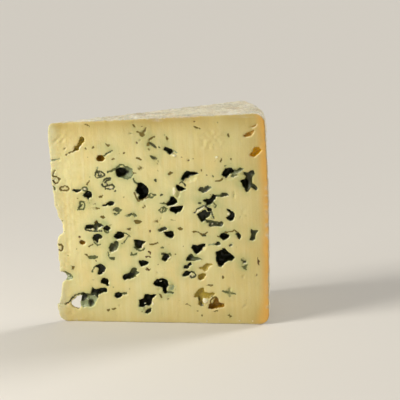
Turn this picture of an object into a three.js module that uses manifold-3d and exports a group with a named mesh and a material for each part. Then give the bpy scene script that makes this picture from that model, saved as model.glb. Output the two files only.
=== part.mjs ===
// A wedge of blue cheese, cut from a round wheel and standing on its base.
// Millimetres, +Z up. The wedge is shaped with the middle of the wheel at x = 0, y = 0 and its
// front cut face in the plane y = 0, and is then moved so that the origin is the middle of its base.
import * as THREE from 'three';
import { mergeVertices } from 'three/addons/utils/BufferGeometryUtils.js';
import Module from 'manifold-3d';

// driving dimensions of the wheel and the cut
const WHEEL_RADIUS = 100;
const WEDGE_ANGLE = THREE.MathUtils.degToRad(30);
const RIM_HEIGHT = 96.6;
const CENTRE_HEIGHT = 93.3;
const TOP_EDGE_RADIUS = 4.2;
const BASE_EDGE_RADIUS = 4.8;
const TOP_LEAN = 1.0;

// how finely the wheel is faceted, and how rough its rind is
const STEPS_ROUND = 120;
const STEPS_ACROSS = 24;
const STEPS_UP = 22;
const STEPS_IN_EDGE = 4;
const RIND_ROUGHNESS = 0.3;

// how far a cutting solid reaches past the surface that it cuts
const OVERCUT = 2;

// the sharp inner edge of the wedge has crumbled back: x from the middle of the wheel, z from the base
const CRUMBLED_TIP = [
  [5.0, -0.5], [2.2, 0.9], [0.6, 3.0], [0.0, 6.0], [0.4, 9.5], [1.4, 12.5], [2.4, 16.0],
  [3.0, 19.4], [5.2, 20.6], [7.4, 22.0], [5.6, 23.6], [1.9, 25.0], [2.2, 30.0], [2.2, 34.5],
  [1.2, 38.0], [2.3, 41.0], [4.4, 43.0], [4.8, 46.8], [3.0, 49.6], [2.6, 54.0], [1.6, 60.0],
  [1.3, 69.0], [1.6, 74.0], [1.0, 79.0], [1.0, 90.0], [1.5, 92.4], [3.4, 94.6],
];

// cavities of the front cut face: x, z, width, height, tilt in degrees, depth, number of flat sides
// of the mouth, where 0 is a rounded one
const FRONT_CAVITIES = [
  [42.6, 62.0, 5.6, 7.8, -12, 5.0, 6],
  [79.3, 31.8, 7.6, 8.2, -20, 6.0, 5],
  [70.4, 51.6, 8.6, 6.2, 34, 5.0, 5],
  [64.4, 69.8, 8.0, 3.6, 6, 4.5, 3],
  [56.5, 57.6, 5.4, 4.8, 40, 4.5, 4],
  [58.2, 53.4, 6.2, 3.2, 10, 4.5, 3],
  [60.8, 63.6, 4.4, 2.6, -20, 3.5, 4],
  [49.6, 19.4, 6.4, 3.8, 0, 5.0, 0],
  [42.2, 10.6, 4.8, 6.6, -28, 4.5, 6],
  [20.0, 14.8, 7.6, 3.0, 22, 4.0, 4],
  [12.4, 11.0, 5.4, 3.8, 20, 2.4, 0],
  [15.2, 9.6, 4.0, 4.0, 0, 1.8, 0],
  [33.8, 71.0, 7.4, 5.6, -12, 4.0, 5],
  [82.6, 70.7, 5.2, 3.6, 8, 4.0, 4],
  [86.8, 71.4, 3.6, 1.8, 6, 1.8, 0],
  [89.6, 66.0, 4.2, 4.2, 10, 4.0, 5],
  [92.6, 66.4, 4.0, 3.0, -20, 2.0, 0],
  [73.0, 57.6, 4.0, 2.8, 18, 3.2, 4],
  [82.9, 51.3, 2.8, 5.2, 8, 3.5, 4],
  [67.3, 35.6, 5.8, 4.0, 6, 4.5, 3],
  [64.6, 31.3, 6.0, 2.6, -8, 2.2, 3],
  [80.0, 41.3, 4.0, 2.9, -4, 3.6, 5],
  [86.2, 41.6, 2.4, 3.0, 10, 2.4, 4],
  [92.8, 41.8, 1.6, 4.4, -18, 2.0, 0],
  [54.8, 41.8, 4.0, 2.8, -6, 3.6, 4],
  [51.6, 44.4, 4.0, 1.3, 10, 1.6, 0],
  [52.0, 31.4, 3.8, 3.2, 20, 2.8, 5],
  [41.8, 28.4, 3.9, 2.4, 4, 3.4, 4],
  [35.0, 22.9, 7.4, 3.3, 36, 3.4, 6],
  [40.2, 37.2, 4.4, 4.6, 0, 3.4, 5],
  [31.3, 41.6, 4.8, 3.6, 0, 3.6, 5],
  [35.0, 41.2, 2.4, 1.8, 0, 1.6, 0],
  [28.0, 36.0, 2.8, 4.4, -34, 2.0, 0],
  [18.0, 45.6, 4.4, 2.8, 4, 3.2, 0],
  [21.7, 45.4, 2.4, 3.2, -30, 2.2, 0],
  [25.4, 44.6, 2.8, 2.2, 10, 2.4, 0],
  [20.9, 40.5, 4.0, 2.4, 14, 2.8, 4],
  [20.6, 38.2, 2.6, 2.4, 0, 1.4, 0],
  [13.6, 38.0, 2.5, 1.9, 0, 2.2, 0],
  [24.4, 77.3, 3.4, 2.5, 0, 3.2, 0],
  [16.0, 85.6, 2.0, 2.9, -28, 2.4, 0],
  [13.6, 82.2, 2.2, 2.0, -40, 2.2, 0],
  [17.4, 60.2, 3.6, 3.0, 0, 3.0, 4],
  [12.2, 62.4, 3.8, 1.2, -6, 1.8, 0],
  [27.6, 56.3, 5.0, 1.8, 16, 2.6, 0],
  [21.6, 25.3, 3.4, 4.4, -14, 3.0, 5],
  [23.6, 19.4, 3.4, 3.6, -30, 3.0, 5],
  [29.2, 12.9, 3.6, 2.2, 14, 2.8, 0],
  [56.0, 80.6, 3.8, 2.6, -20, 3.2, 4],
  [62.2, 27.2, 3.8, 2.0, 30, 2.4, 0],
  [62.0, 23.8, 4.2, 2.2, 18, 3.0, 4],
  [68.6, 22.2, 3.4, 2.2, 20, 2.4, 4],
  [68.6, 13.2, 5.6, 3.2, -14, 2.6, 0],
  [75.0, 9.0, 6.6, 3.4, 10, 4.2, 5],
  [74.8, 11.2, 2.2, 2.6, 0, 2.2, 0],
  [92.2, 87.6, 4.0, 1.5, 26, 2.6, 0],
  [94.7, 79.8, 4.2, 2.6, 34, 3.4, 5],
  [42.7, 5.8, 3.6, 2.0, 18, 2.4, 0],
  [40.0, 47.9, 3.6, 1.7, -4, 1.8, 0],
  [94.8, 29.4, 1.1, 3.6, 0, 2.0, 0],
  [51.6, 15.4, 2.2, 3.4, -20, 2.6, 0],
];

// the hole that goes right through the thin end of the wedge, by its tip
const THROUGH_HOLE = { x: 8.6, z: 9.6, width: 4.4, height: 7.0, tilt: -18 };

const THROUGH_REACH = 2.4;

// cavities of the other cut face are placed by a rule, of about the same sizes and just as uneven
const BACK_CAVITY_COUNT = 54;
const BACK_FIRST = { along: 13, up: 7 };
const BACK_LAST = { along: 94, up: 89 };
const BACK_SIZES = { least: 2.2, most: 7.6 };
const BACK_SIDES = [0, 5, 0, 4, 6, 0, 3];
const BACK_FLATTEST = 0.45;
const BACK_DEPTH_SHARE = 0.65;
const SMALL_ONES_MORE_OFTEN = 1.6;
const EVEN_SPREAD = { along: 0.7549, up: 0.5698 };

// the form of a cavity: how far its walls stray, how its floor narrows, and where its middle lies
const DEEPEST_SHARE = 0.38;
const WALL_IRREGULARITY = 0.2;
const FLOOR_SHARE = 0.5;
const FLAT_SIDED_LIFT = 0.3;
const ROUND_SINK = 0.1;

// seeds of the fixed draws
const SEED = { hole: 7, front: 11, size: 200, flatness: 300, tilt: 400, back: 500 };

const MERGE_DISTANCE = 1e-4;
const PASTE_COLOUR = 0xd8cd98;

const wasm = await Module();
wasm.setup();

// a fixed number from 0 to 1 for each value of the seed
function draw(seed) {
  const raw = Math.sin(seed * 12.9898) * 43758.5453;
  return raw - Math.floor(raw);
}

// smooth unevenness between about -1 and 1 at a place
function unevenness(x, y, z) {
  const broad = Math.sin(0.31 * x + 1.7) * Math.cos(0.27 * y - 0.4) * Math.sin(0.23 * z + 0.9);
  const fine = Math.sin(0.83 * x - 0.6) * Math.sin(0.71 * y + 2.1) * Math.cos(0.64 * z + 0.2);
  return 0.6 * broad + 0.4 * fine;
}

// a closed solid from a three.js geometry
function solidOf(geometry) {
  const bare = geometry.clone();
  bare.deleteAttribute('normal');
  bare.deleteAttribute('uv');
  const merged = mergeVertices(bare, MERGE_DISTANCE);
  return new wasm.Manifold(new wasm.Mesh({
    numProp: 3,
    vertProperties: new Float32Array(merged.attributes.position.array),
    triVerts: new Uint32Array(merged.index.array),
  }));
}

// the three.js geometry of a closed solid
function geometryOf(solid) {
  const mesh = solid.getMesh();
  const geometry = new THREE.BufferGeometry();
  geometry.setAttribute('position', new THREE.BufferAttribute(mesh.vertProperties, 3));
  geometry.setIndex(new THREE.BufferAttribute(mesh.triVerts, 1));
  return geometry;
}

// quarter round of the wheel's edge, from one angle to another about its centre
function edgeArc(centreRadius, centreHeight, radius, from, to) {
  const points = [];
  for (let step = 0; step <= STEPS_IN_EDGE; step += 1) {
    const angle = from + ((to - from) * step) / STEPS_IN_EDGE;
    points.push(new THREE.Vector2(
      centreRadius + radius * Math.cos(angle),
      centreHeight + radius * Math.sin(angle),
    ));
  }
  return points;
}

// radius of the wheel's side at a height: fullest low down, leaning in towards the top
function sideRadius(height) {
  return WHEEL_RADIUS - TOP_LEAN * (height / RIM_HEIGHT) ** 3;
}

// height of the top at a radius: it sinks gently towards the middle of the wheel
function topHeight(radius) {
  return CENTRE_HEIGHT + (RIM_HEIGHT - CENTRE_HEIGHT) * (radius / WHEEL_RADIUS);
}

// the whole wheel, flat below, with a rough rind on its side and top
function wheel() {
  const baseCorner = WHEEL_RADIUS - BASE_EDGE_RADIUS;
  const topCentreHeight = RIM_HEIGHT - TOP_EDGE_RADIUS;
  const topCorner = sideRadius(topCentreHeight) - TOP_EDGE_RADIUS;
  const profile = [new THREE.Vector2(0, 0)];
  profile.push(...edgeArc(baseCorner, BASE_EDGE_RADIUS, BASE_EDGE_RADIUS, -Math.PI / 2, 0));
  for (let step = 1; step < STEPS_UP; step += 1) {
    const height = THREE.MathUtils.lerp(BASE_EDGE_RADIUS, topCentreHeight, step / STEPS_UP);
    profile.push(new THREE.Vector2(sideRadius(height), height));
  }
  profile.push(...edgeArc(topCorner, topCentreHeight, TOP_EDGE_RADIUS, 0, Math.PI / 2));
  for (let step = STEPS_ACROSS - 1; step >= 0; step -= 1) {
    const radius = (topCorner * step) / STEPS_ACROSS;
    profile.push(new THREE.Vector2(radius, topHeight(radius)));
  }
  const geometry = new THREE.LatheGeometry(profile, STEPS_ROUND);
  geometry.rotateX(Math.PI / 2);
  roughen(geometry);
  return solidOf(geometry);
}

// pushes the rind in and out a little, everywhere but on the flat base
function roughen(geometry) {
  const position = geometry.attributes.position;
  const point = new THREE.Vector3();
  for (let index = 0; index < position.count; index += 1) {
    point.fromBufferAttribute(position, index);
    const radius = Math.hypot(point.x, point.y);
    if (radius < MERGE_DISTANCE || point.z < MERGE_DISTANCE) continue;
    const shift = RIND_ROUGHNESS * unevenness(point.x, point.y, point.z);
    const onTop = point.z > RIM_HEIGHT - TOP_EDGE_RADIUS && radius < WHEEL_RADIUS - TOP_EDGE_RADIUS;
    if (onTop) {
      point.z += shift;
    } else {
      point.x *= 1 + shift / radius;
      point.y *= 1 + shift / radius;
    }
    position.setXYZ(index, point.x, point.y, point.z);
  }
}

// the slice of space between the two cuts
function sector() {
  const reach = 2 * WHEEL_RADIUS;
  const outline = new THREE.Shape([
    new THREE.Vector2(0, 0),
    new THREE.Vector2(reach, 0),
    new THREE.Vector2(reach * Math.cos(WEDGE_ANGLE), reach * Math.sin(WEDGE_ANGLE)),
  ]);
  const geometry = new THREE.ExtrudeGeometry(outline, {
    depth: RIM_HEIGHT + 2 * OVERCUT,
    bevelEnabled: false,
  });
  geometry.translate(0, 0, -OVERCUT);
  return solidOf(geometry);
}

// what has crumbled off the thin inner edge
function missingTip() {
  const outside = -2 * OVERCUT;
  const [lowestX] = CRUMBLED_TIP[0];
  const [highestX] = CRUMBLED_TIP[CRUMBLED_TIP.length - 1];
  const outline = [
    [lowestX, -OVERCUT],
    ...CRUMBLED_TIP,
    [highestX, RIM_HEIGHT + OVERCUT],
    [outside, RIM_HEIGHT + OVERCUT],
    [outside, -OVERCUT],
  ].map(([x, z]) => new THREE.Vector2(x, z));
  const depth = 10 * OVERCUT;
  const geometry = new THREE.ExtrudeGeometry(new THREE.Shape(outline), { depth, bevelEnabled: false });
  geometry.rotateX(Math.PI / 2);
  geometry.translate(0, depth / 2, 0);
  return solidOf(geometry);
}

// a tapered prism one unit deep, as wide as asked where it crosses the face
function flatSidedHollow(sides) {
  const reach = 1 + FLAT_SIDED_LIFT;
  const taper = (1 - FLOOR_SHARE) / reach;
  const mouthRadius = 1 - taper * FLAT_SIDED_LIFT;
  const geometry = new THREE.CylinderGeometry(FLOOR_SHARE, 1, reach, sides, 2);
  geometry.translate(0, reach / 2 - FLAT_SIDED_LIFT, 0);
  return geometry.scale(1 / mouthRadius, 1, 1 / mouthRadius);
}

// a ball with its middle just below the face, reaching one unit deep
function roundHollow() {
  const geometry = new THREE.IcosahedronGeometry(1, 1);
  geometry.scale(1, 1 - ROUND_SINK, 1);
  return geometry.translate(0, ROUND_SINK, 0);
}

// the shape of one cavity, in a face that is the plane y = 0, reaching in along +y
function hollow({ x, z, width, height, tilt, depth, sides, seed }) {
  const geometry = sides > 0 ? flatSidedHollow(sides) : roundHollow();
  geometry.deleteAttribute('normal');
  geometry.deleteAttribute('uv');
  const rough = mergeVertices(geometry, MERGE_DISTANCE);
  const position = rough.attributes.position;
  for (let index = 0; index < position.count; index += 1) {
    const grow = 1 + WALL_IRREGULARITY * (2 * draw(seed + index / position.count) - 1);
    position.setX(index, position.getX(index) * grow);
    position.setZ(index, position.getZ(index) * grow);
  }
  rough.scale(width / 2, depth, height / 2);
  rough.rotateY(-THREE.MathUtils.degToRad(tilt));
  return rough.translate(x, 0, z);
}

// thickness of the wedge behind a point of a cut face
function thicknessAt(along) {
  return along * Math.tan(WEDGE_ANGLE);
}

// all the cavities that open on the front cut face
function frontHollows() {
  return FRONT_CAVITIES.map(([x, z, width, height, tilt, fullDepth, sides], row) => {
    const depth = Math.min(fullDepth, DEEPEST_SHARE * thicknessAt(x));
    return solidOf(hollow({ x, z, width, height, tilt, depth, sides, seed: SEED.front + row }));
  });
}

// the cavities of the other cut face, spread evenly by a golden-ratio rule
function backHollows() {
  const { lerp } = THREE.MathUtils;
  const hollows = [];
  for (let row = 0; row < BACK_CAVITY_COUNT; row += 1) {
    const x = lerp(BACK_FIRST.along, BACK_LAST.along, (0.5 + EVEN_SPREAD.along * row) % 1);
    const z = lerp(BACK_FIRST.up, BACK_LAST.up, (0.5 + EVEN_SPREAD.up * row) % 1);
    const share = draw(SEED.size + row) ** SMALL_ONES_MORE_OFTEN;
    const width = lerp(BACK_SIZES.least, BACK_SIZES.most, share);
    const shape = hollow({
      x: 0,
      z: 0,
      width,
      height: width * lerp(BACK_FLATTEST, 1, draw(SEED.flatness + row)),
      tilt: lerp(-30, 60, draw(SEED.tilt + row)),
      depth: Math.min(BACK_DEPTH_SHARE * width, DEEPEST_SHARE * thicknessAt(x)),
      sides: BACK_SIDES[row % BACK_SIDES.length],
      seed: SEED.back + row,
    });
    shape.rotateZ(Math.PI);
    shape.translate(x, 0, z);
    shape.rotateZ(WEDGE_ANGLE);
    hollows.push(solidOf(shape));
  }
  return hollows;
}

// the hole right through the thin end
function throughHole() {
  const depth = THROUGH_REACH * thicknessAt(THROUGH_HOLE.x);
  return solidOf(hollow({ ...THROUGH_HOLE, depth, sides: 0, seed: SEED.hole }));
}

// the finished wedge, standing with the middle of its base at the origin
function cheeseGeometry() {
  const cuts = [missingTip(), throughHole(), ...frontHollows(), ...backHollows()];
  const removed = cuts.reduce((sum, cut) => sum.add(cut));
  const geometry = geometryOf(wheel().intersect(sector()).subtract(removed));
  geometry.computeBoundingBox();
  const middle = geometry.boundingBox.getCenter(new THREE.Vector3());
  geometry.translate(-middle.x, -middle.y, 0);
  return geometry;
}

const paste = new THREE.MeshStandardMaterial({ color: PASTE_COLOUR, roughness: 0.45, metalness: 0 });
const cheese = new THREE.Mesh(cheeseGeometry(), paste);
cheese.name = 'cheese';

const part = new THREE.Group();
part.add(cheese);
export default part;
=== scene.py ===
import math

import bpy
import numpy as np
import openvdb
from mathutils import Matrix, Vector


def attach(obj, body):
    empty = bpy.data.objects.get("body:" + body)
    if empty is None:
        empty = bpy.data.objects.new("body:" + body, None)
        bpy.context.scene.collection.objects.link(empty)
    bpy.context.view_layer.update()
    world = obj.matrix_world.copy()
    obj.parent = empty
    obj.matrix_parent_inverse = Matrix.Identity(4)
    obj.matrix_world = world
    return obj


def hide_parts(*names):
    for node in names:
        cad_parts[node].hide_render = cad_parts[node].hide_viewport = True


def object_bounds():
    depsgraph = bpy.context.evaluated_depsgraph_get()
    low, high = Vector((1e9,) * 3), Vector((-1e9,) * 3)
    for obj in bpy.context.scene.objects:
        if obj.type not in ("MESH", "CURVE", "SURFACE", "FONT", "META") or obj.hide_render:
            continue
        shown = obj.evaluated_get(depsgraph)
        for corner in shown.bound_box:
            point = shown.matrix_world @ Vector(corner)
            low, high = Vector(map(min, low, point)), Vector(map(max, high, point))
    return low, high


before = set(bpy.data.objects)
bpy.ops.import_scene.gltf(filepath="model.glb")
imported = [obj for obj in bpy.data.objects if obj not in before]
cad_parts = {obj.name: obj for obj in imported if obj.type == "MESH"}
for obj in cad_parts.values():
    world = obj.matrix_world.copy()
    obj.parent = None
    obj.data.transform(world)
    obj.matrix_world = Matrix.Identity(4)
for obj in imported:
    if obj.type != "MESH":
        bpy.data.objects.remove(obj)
cad_low, cad_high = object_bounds()

# The wedge, in millimetres: u runs along a cut face from the middle of the wheel, z up from the base.
MM = 0.001
LENGTH = (cad_high.x - cad_low.x) / MM
THICKNESS = (cad_high.y - cad_low.y) / MM
HEIGHT = (cad_high.z - cad_low.z) / MM
WEDGE_ANGLE = math.asin(THICKNESS / LENGTH)
RELIEF_ROOM = 0.2
WHEEL_RADIUS = LENGTH - RELIEF_ROOM
RIM_HEIGHT = HEIGHT - RELIEF_ROOM
TOP_FALL = 3.4
CENTRE_HEIGHT = HEIGHT - TOP_FALL
TOP_EDGE_RADIUS = 4.2
BASE_EDGE_RADIUS = 4.8
TOP_LEAN = 1.0
FOOT_LEAN = 0.9
FOOT_LEAN_TOP = 62.0

# how far the cut faces, and the rind away from its edges, lie inside the wedge's outline
FACE_INSET = 0.2
RIND_SUNK = 0.45

# how finely the surface is made, and how many triangles it may have in the end
CELL = 0.38
MARGIN = 1.8
TRIANGLES = 198000

# how freely triangles are taken away near the front cut face, near the back one and elsewhere
THINNING = (0.3, 0.42, 0.62)
FACE_ZONE = 7.0

# the crumbled inner edge: distance from the middle of the wheel and height
CRUMBLED_TIP = [
    (4.0, 0.0), (2.2, 0.9), (1.2, 1.8), (0.7, 3.4), (0.3, 5.6), (-0.1, 7.8), (-0.1, 8.7), (1.0, 9.0),
    (1.4, 11.0), (1.9, 13.5), (2.3, 16.0), (2.9, 17.6), (2.7, 18.6), (3.4, 19.4), (4.4, 20.2),
    (4.9, 21.8), (4.6, 23.4), (2.6, 24.0), (2.0, 24.5), (2.2, 26.0), (2.0, 30.0), (2.1, 35.0),
    (2.0, 39.0), (2.5, 40.8), (3.3, 41.7), (5.0, 42.4), (4.8, 43.6), (5.2, 46.0), (4.9, 47.2),
    (4.1, 48.6), (3.2, 49.8), (2.6, 50.6), (2.9, 51.4), (2.5, 52.8), (1.8, 56.0), (1.4, 60.0),
    (1.2, 64.0), (1.0, 69.0), (1.2, 75.0), (0.8, 80.0), (0.7, 88.0), (0.9, 91.0), (1.3, 92.4), (3.0, 94.0),
]
TIP_ZONE = 12.0
TIP_SHIFT = -0.2
TIP_SWELL = 0.55
TIP_SWELL_END = 8.0

# Cavities of the front cut face: tone, depth, corners of the mouth.
CAVITIES = [
    ("black", 7.0, [(42.4, 65.9), (43.6, 65.5), (44.7, 64.6), (45.4, 63.2), (45.4, 61.4), (45.0, 59.8),
                    (43.9, 58.9), (42.6, 58.2), (41.2, 58.4), (41.0, 59.2), (41.8, 59.8), (41.5, 60.7),
                    (40.5, 61.0), (40.0, 61.9), (40.3, 63.0), (40.9, 64.2), (41.2, 65.5)]),
    ("black", 6.5, [(75.7, 33.3), (76.6, 34.1), (78.2, 34.7), (79.4, 35.4), (80.6, 34.3), (81.9, 33.2),
                    (83.2, 32.5), (83.9, 31.5), (83.1, 30.6), (81.4, 30.1), (79.8, 29.5), (78.6, 28.4),
                    (77.6, 27.1), (76.5, 27.5), (76.1, 29.0), (75.8, 31.0)]),
    ("dark", 3.4, [(67.4, 51.4), (68.8, 52.0), (70.0, 53.0), (71.4, 53.2), (72.2, 52.2), (73.3, 52.2),
                   (73.0, 50.8), (71.6, 49.8), (70.6, 48.6), (69.6, 48.0), (69.1, 49.1), (68.4, 50.2)]),
    ("black", 3.0, [(71.5, 55.3), (73.0, 54.6), (74.5, 54.1), (74.1, 53.0), (72.9, 52.8), (72.0, 53.9)]),
    ("black", 5.0, [(61.1, 67.2), (61.5, 68.6), (62.2, 70.0), (63.6, 70.9), (65.2, 70.7), (67.0, 70.6),
                    (69.0, 70.1), (67.2, 69.6), (65.4, 69.2), (63.8, 68.3), (62.6, 68.1), (61.7, 67.0)]),
    ("black", 4.0, [(58.4, 64.5), (59.6, 64.9), (60.6, 64.3), (62.0, 63.7), (63.1, 63.2), (61.8, 62.7),
                    (60.6, 62.1), (59.5, 62.7), (58.8, 63.4)]),
    ("black", 5.0, [(53.5, 55.9), (54.6, 57.0), (55.4, 57.9), (56.0, 59.5), (57.3, 59.3), (58.5, 58.2),
                    (58.7, 57.0), (57.6, 56.1), (56.0, 55.7), (54.8, 55.3), (54.0, 55.4)]),
    ("black", 5.0, [(54.9, 53.4), (56.2, 54.5), (57.8, 54.8), (59.2, 54.9), (61.4, 55.5), (60.8, 54.2),
                    (60.2, 53.1), (58.8, 52.5), (57.8, 51.7), (57.0, 52.3), (56.0, 52.7)]),
    ("black", 5.5, [(46.2, 18.6), (46.8, 19.7), (47.6, 20.7), (49.0, 21.1), (50.6, 21.2), (51.9, 20.5),
                    (52.7, 19.4), (52.6, 18.2), (52.0, 17.2), (51.6, 16.0), (51.9, 14.8), (51.0, 14.3),
                    (50.3, 15.4), (50.2, 16.8), (49.4, 17.4), (48.2, 17.5), (46.8, 17.9)]),
    ("black", 5.0, [(38.7, 7.5), (39.2, 9.0), (39.1, 10.8), (40.4, 11.0), (41.6, 11.6), (41.8, 13.3),
                    (43.2, 13.5), (45.0, 13.2), (47.0, 13.7), (45.8, 12.5), (45.0, 11.8), (44.6, 10.6),
                    (44.4, 9.2), (43.4, 8.4), (41.8, 8.4), (40.4, 7.4)]),
    ("dark", 2.6, [(41.4, 4.4), (42.2, 5.7), (43.0, 6.3), (44.5, 6.9), (44.0, 5.6), (42.7, 4.5)]),
    ("black", 4.0, [(16.2, 12.6), (16.6, 14.2), (16.8, 15.4), (17.1, 16.5), (17.7, 15.7), (18.6, 15.5),
                    (20.4, 15.9), (21.6, 16.1), (22.6, 16.4), (23.7, 16.0), (23.6, 14.8), (22.4, 14.5),
                    (20.9, 14.1), (19.7, 13.5), (19.3, 12.7), (19.4, 11.8), (18.8, 11.5), (18.4, 12.8),
                    (17.4, 13.1)]),
    ("slate", 1.9, [(10.9, 7.6), (11.4, 9.6), (13.2, 11.6), (15.6, 12.6), (17.6, 12.8), (18.6, 11.2),
                    (17.6, 9.8), (17.0, 8.4), (15.4, 7.4), (13.4, 7.8), (12.0, 7.1)]),
    ("dark", 3.0, [(11.5, 10.0), (11.8, 12.7), (12.7, 13.7), (13.9, 12.8), (13.3, 11.4), (12.4, 10.4)]),
    ("dark", 2.6, [(14.9, 9.9), (15.9, 10.0), (16.3, 8.6), (15.4, 7.7), (14.6, 8.8)]),
    ("slate", 1.6, [(4.9, 23.2), (6.2, 22.8), (7.6, 21.7), (7.0, 20.6), (5.6, 20.2), (4.4, 20.6)]),
    ("slate", 3.2, [(31.3, 72.0), (33.2, 72.9), (35.4, 72.6), (37.2, 72.6), (38.4, 71.6), (38.5, 70.0),
                    (37.6, 68.6), (36.4, 67.9), (34.6, 68.2), (33.0, 68.7), (31.4, 69.2)]),
    ("black", 5.5, [(31.2, 72.0), (33.0, 72.3), (34.8, 71.7), (36.0, 70.6), (35.1, 69.6), (33.6, 69.1),
                    (31.3, 69.2)]),
    ("black", 4.6, [(79.8, 69.3), (80.5, 71.0), (81.3, 72.1), (82.6, 72.4), (84.0, 72.1), (85.0, 71.5),
                    (84.5, 70.6), (83.2, 70.1), (82.2, 69.3), (81.1, 68.5), (80.1, 68.8)]),
    ("green", 1.4, [(84.4, 71.7), (86.0, 71.7), (87.4, 72.3), (88.8, 72.0), (87.6, 71.0), (86.2, 70.3),
                    (84.6, 70.0)]),
    ("green", 1.1, [(83.8, 69.7), (85.4, 69.5), (86.6, 69.1), (84.6, 68.5), (83.6, 68.9)]),
    ("black", 4.4, [(87.7, 66.5), (88.6, 67.3), (90.0, 67.3), (90.5, 66.0), (90.7, 64.6), (90.3, 62.8),
                    (89.8, 63.4), (88.8, 63.7), (88.5, 65.2)]),
    ("dark", 2.4, [(90.0, 67.4), (90.8, 68.5), (90.1, 69.3), (89.4, 70.5), (91.0, 70.0), (92.2, 70.6),
                   (93.6, 71.1), (93.7, 69.8), (92.8, 69.0), (92.2, 67.8), (92.8, 66.6), (92.2, 65.6),
                   (93.6, 64.8), (95.0, 63.6), (94.6, 62.5), (93.2, 63.7), (92.0, 64.1), (91.2, 63.2),
                   (90.8, 61.9), (90.1, 61.7), (90.4, 64.0)]),
    ("black", 3.4, [(71.0, 57.6), (72.2, 58.4), (73.4, 58.0), (74.6, 58.8), (75.4, 60.4), (76.3, 59.9),
                    (75.8, 58.4), (74.8, 57.3), (73.8, 56.2), (72.4, 55.9), (72.2, 57.0)]),
    ("black", 4.0, [(81.4, 53.9), (82.4, 53.3), (83.6, 52.7), (84.3, 51.6), (84.2, 50.2), (83.8, 48.9),
                    (82.6, 48.5), (81.4, 48.9), (80.9, 50.0), (82.2, 50.4), (82.9, 51.0), (82.6, 52.0),
                    (81.8, 52.8)]),
    ("black", 4.8, [(64.6, 36.2), (65.4, 37.0), (66.8, 36.9), (68.4, 37.2), (70.6, 37.5), (69.4, 36.1),
                    (68.6, 34.9), (67.6, 33.7), (66.5, 33.0), (65.5, 34.4)]),
    ("green", 1.8, [(61.7, 30.2), (62.4, 31.1), (63.0, 32.1), (64.3, 32.8), (65.3, 31.8), (66.8, 31.3),
                    (68.4, 30.5), (66.8, 30.2), (65.0, 30.0), (63.2, 29.8)]),
    ("black", 2.6, [(61.9, 30.2), (62.5, 31.2), (63.6, 31.3), (63.9, 30.4), (63.0, 29.9)]),
    ("black", 4.0, [(77.8, 41.2), (78.2, 42.5), (79.6, 42.7), (80.8, 42.5), (82.1, 41.4), (81.0, 40.5),
                    (79.8, 39.9), (78.3, 39.9), (77.8, 40.6)]),
    ("dark", 2.6, [(84.8, 42.4), (86.4, 42.9), (87.1, 42.2), (87.0, 40.9), (86.4, 40.0), (85.5, 40.8),
                   (85.6, 41.8)]),
    ("dark", 2.0, [(91.7, 44.5), (92.6, 43.9), (93.4, 43.7), (94.8, 43.9), (94.0, 42.8), (93.6, 41.6),
                   (93.0, 40.4), (92.4, 39.4), (91.3, 39.7), (91.6, 40.8), (92.1, 41.8), (92.2, 43.0)]),
    ("black", 3.8, [(51.7, 42.8), (53.2, 43.2), (54.8, 43.4), (56.4, 43.3), (56.3, 41.6), (55.8, 40.6),
                    (54.2, 40.5), (53.0, 40.9), (52.6, 42.0)]),
    ("dark", 3.0, [(50.5, 30.6), (50.8, 31.7), (51.6, 31.5), (51.5, 32.5), (52.8, 32.8), (54.0, 31.9),
                   (53.2, 31.0), (52.4, 30.1), (51.8, 29.6), (50.7, 29.9)]),
    ("black", 3.4, [(39.7, 29.5), (41.2, 29.6), (43.0, 29.6), (44.0, 29.0), (43.5, 27.8), (42.0, 27.4),
                    (40.4, 27.0), (39.9, 28.2)]),
    ("black", 3.0, [(31.6, 21.3), (32.6, 22.7), (33.6, 23.4), (35.0, 23.7), (36.6, 23.4), (36.6, 22.2),
                    (35.6, 21.3), (34.0, 20.9), (32.4, 20.4)]),
    ("green", 2.0, [(35.0, 23.6), (35.8, 24.8), (36.2, 25.9), (37.5, 26.6), (38.3, 25.6), (37.9, 24.4),
                    (39.2, 24.3), (37.9, 23.1), (36.8, 22.2), (36.2, 23.0)]),
    ("dark", 3.2, [(37.7, 39.4), (39.0, 39.6), (40.6, 39.4), (42.0, 39.0), (43.4, 38.8), (42.2, 37.9),
                   (41.6, 37.0), (41.4, 35.9), (40.2, 35.6), (38.8, 35.5), (38.4, 36.8), (38.4, 38.2)]),
    ("black", 3.8, [(28.6, 40.7), (29.4, 42.0), (30.6, 43.1), (32.4, 43.4), (33.4, 42.2), (33.2, 41.0),
                    (32.0, 40.2), (30.2, 39.9)]),
    ("green", 1.6, [(26.2, 36.0), (27.0, 37.3), (28.4, 37.7), (29.7, 38.8), (30.4, 37.4), (30.1, 36.0),
                    (29.2, 34.7), (28.0, 34.1), (26.5, 33.8), (26.2, 35.0)]),
    ("black", 3.2, [(15.3, 44.9), (16.1, 46.1), (17.6, 46.4), (18.8, 46.1), (19.5, 45.3), (18.4, 44.7),
                    (17.2, 44.4), (16.2, 44.6)]),
    ("dark", 2.2, [(19.2, 46.2), (20.2, 47.1), (21.2, 47.6), (21.8, 46.7), (22.8, 46.9), (23.8, 46.3),
                   (22.8, 45.5), (21.4, 45.1), (20.7, 45.3), (20.8, 44.4), (20.0, 44.0), (19.5, 45.2)]),
    ("olive", 0.9, [(19.5, 47.2), (20.3, 48.1), (21.6, 48.6), (21.0, 47.5), (20.2, 47.0)]),
    ("black", 2.6, [(23.8, 44.5), (24.7, 45.4), (25.4, 46.0), (26.2, 45.4), (27.0, 45.0), (26.3, 44.5),
                    (26.1, 43.2), (25.2, 43.5), (24.5, 44.1)]),
    ("dark", 2.8, [(18.5, 40.2), (19.3, 41.3), (20.6, 41.9), (21.8, 41.6), (23.0, 41.1), (22.2, 40.0),
                   (21.2, 39.7), (21.0, 38.6), (20.4, 38.0), (19.9, 38.8), (19.3, 39.4)]),
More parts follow.
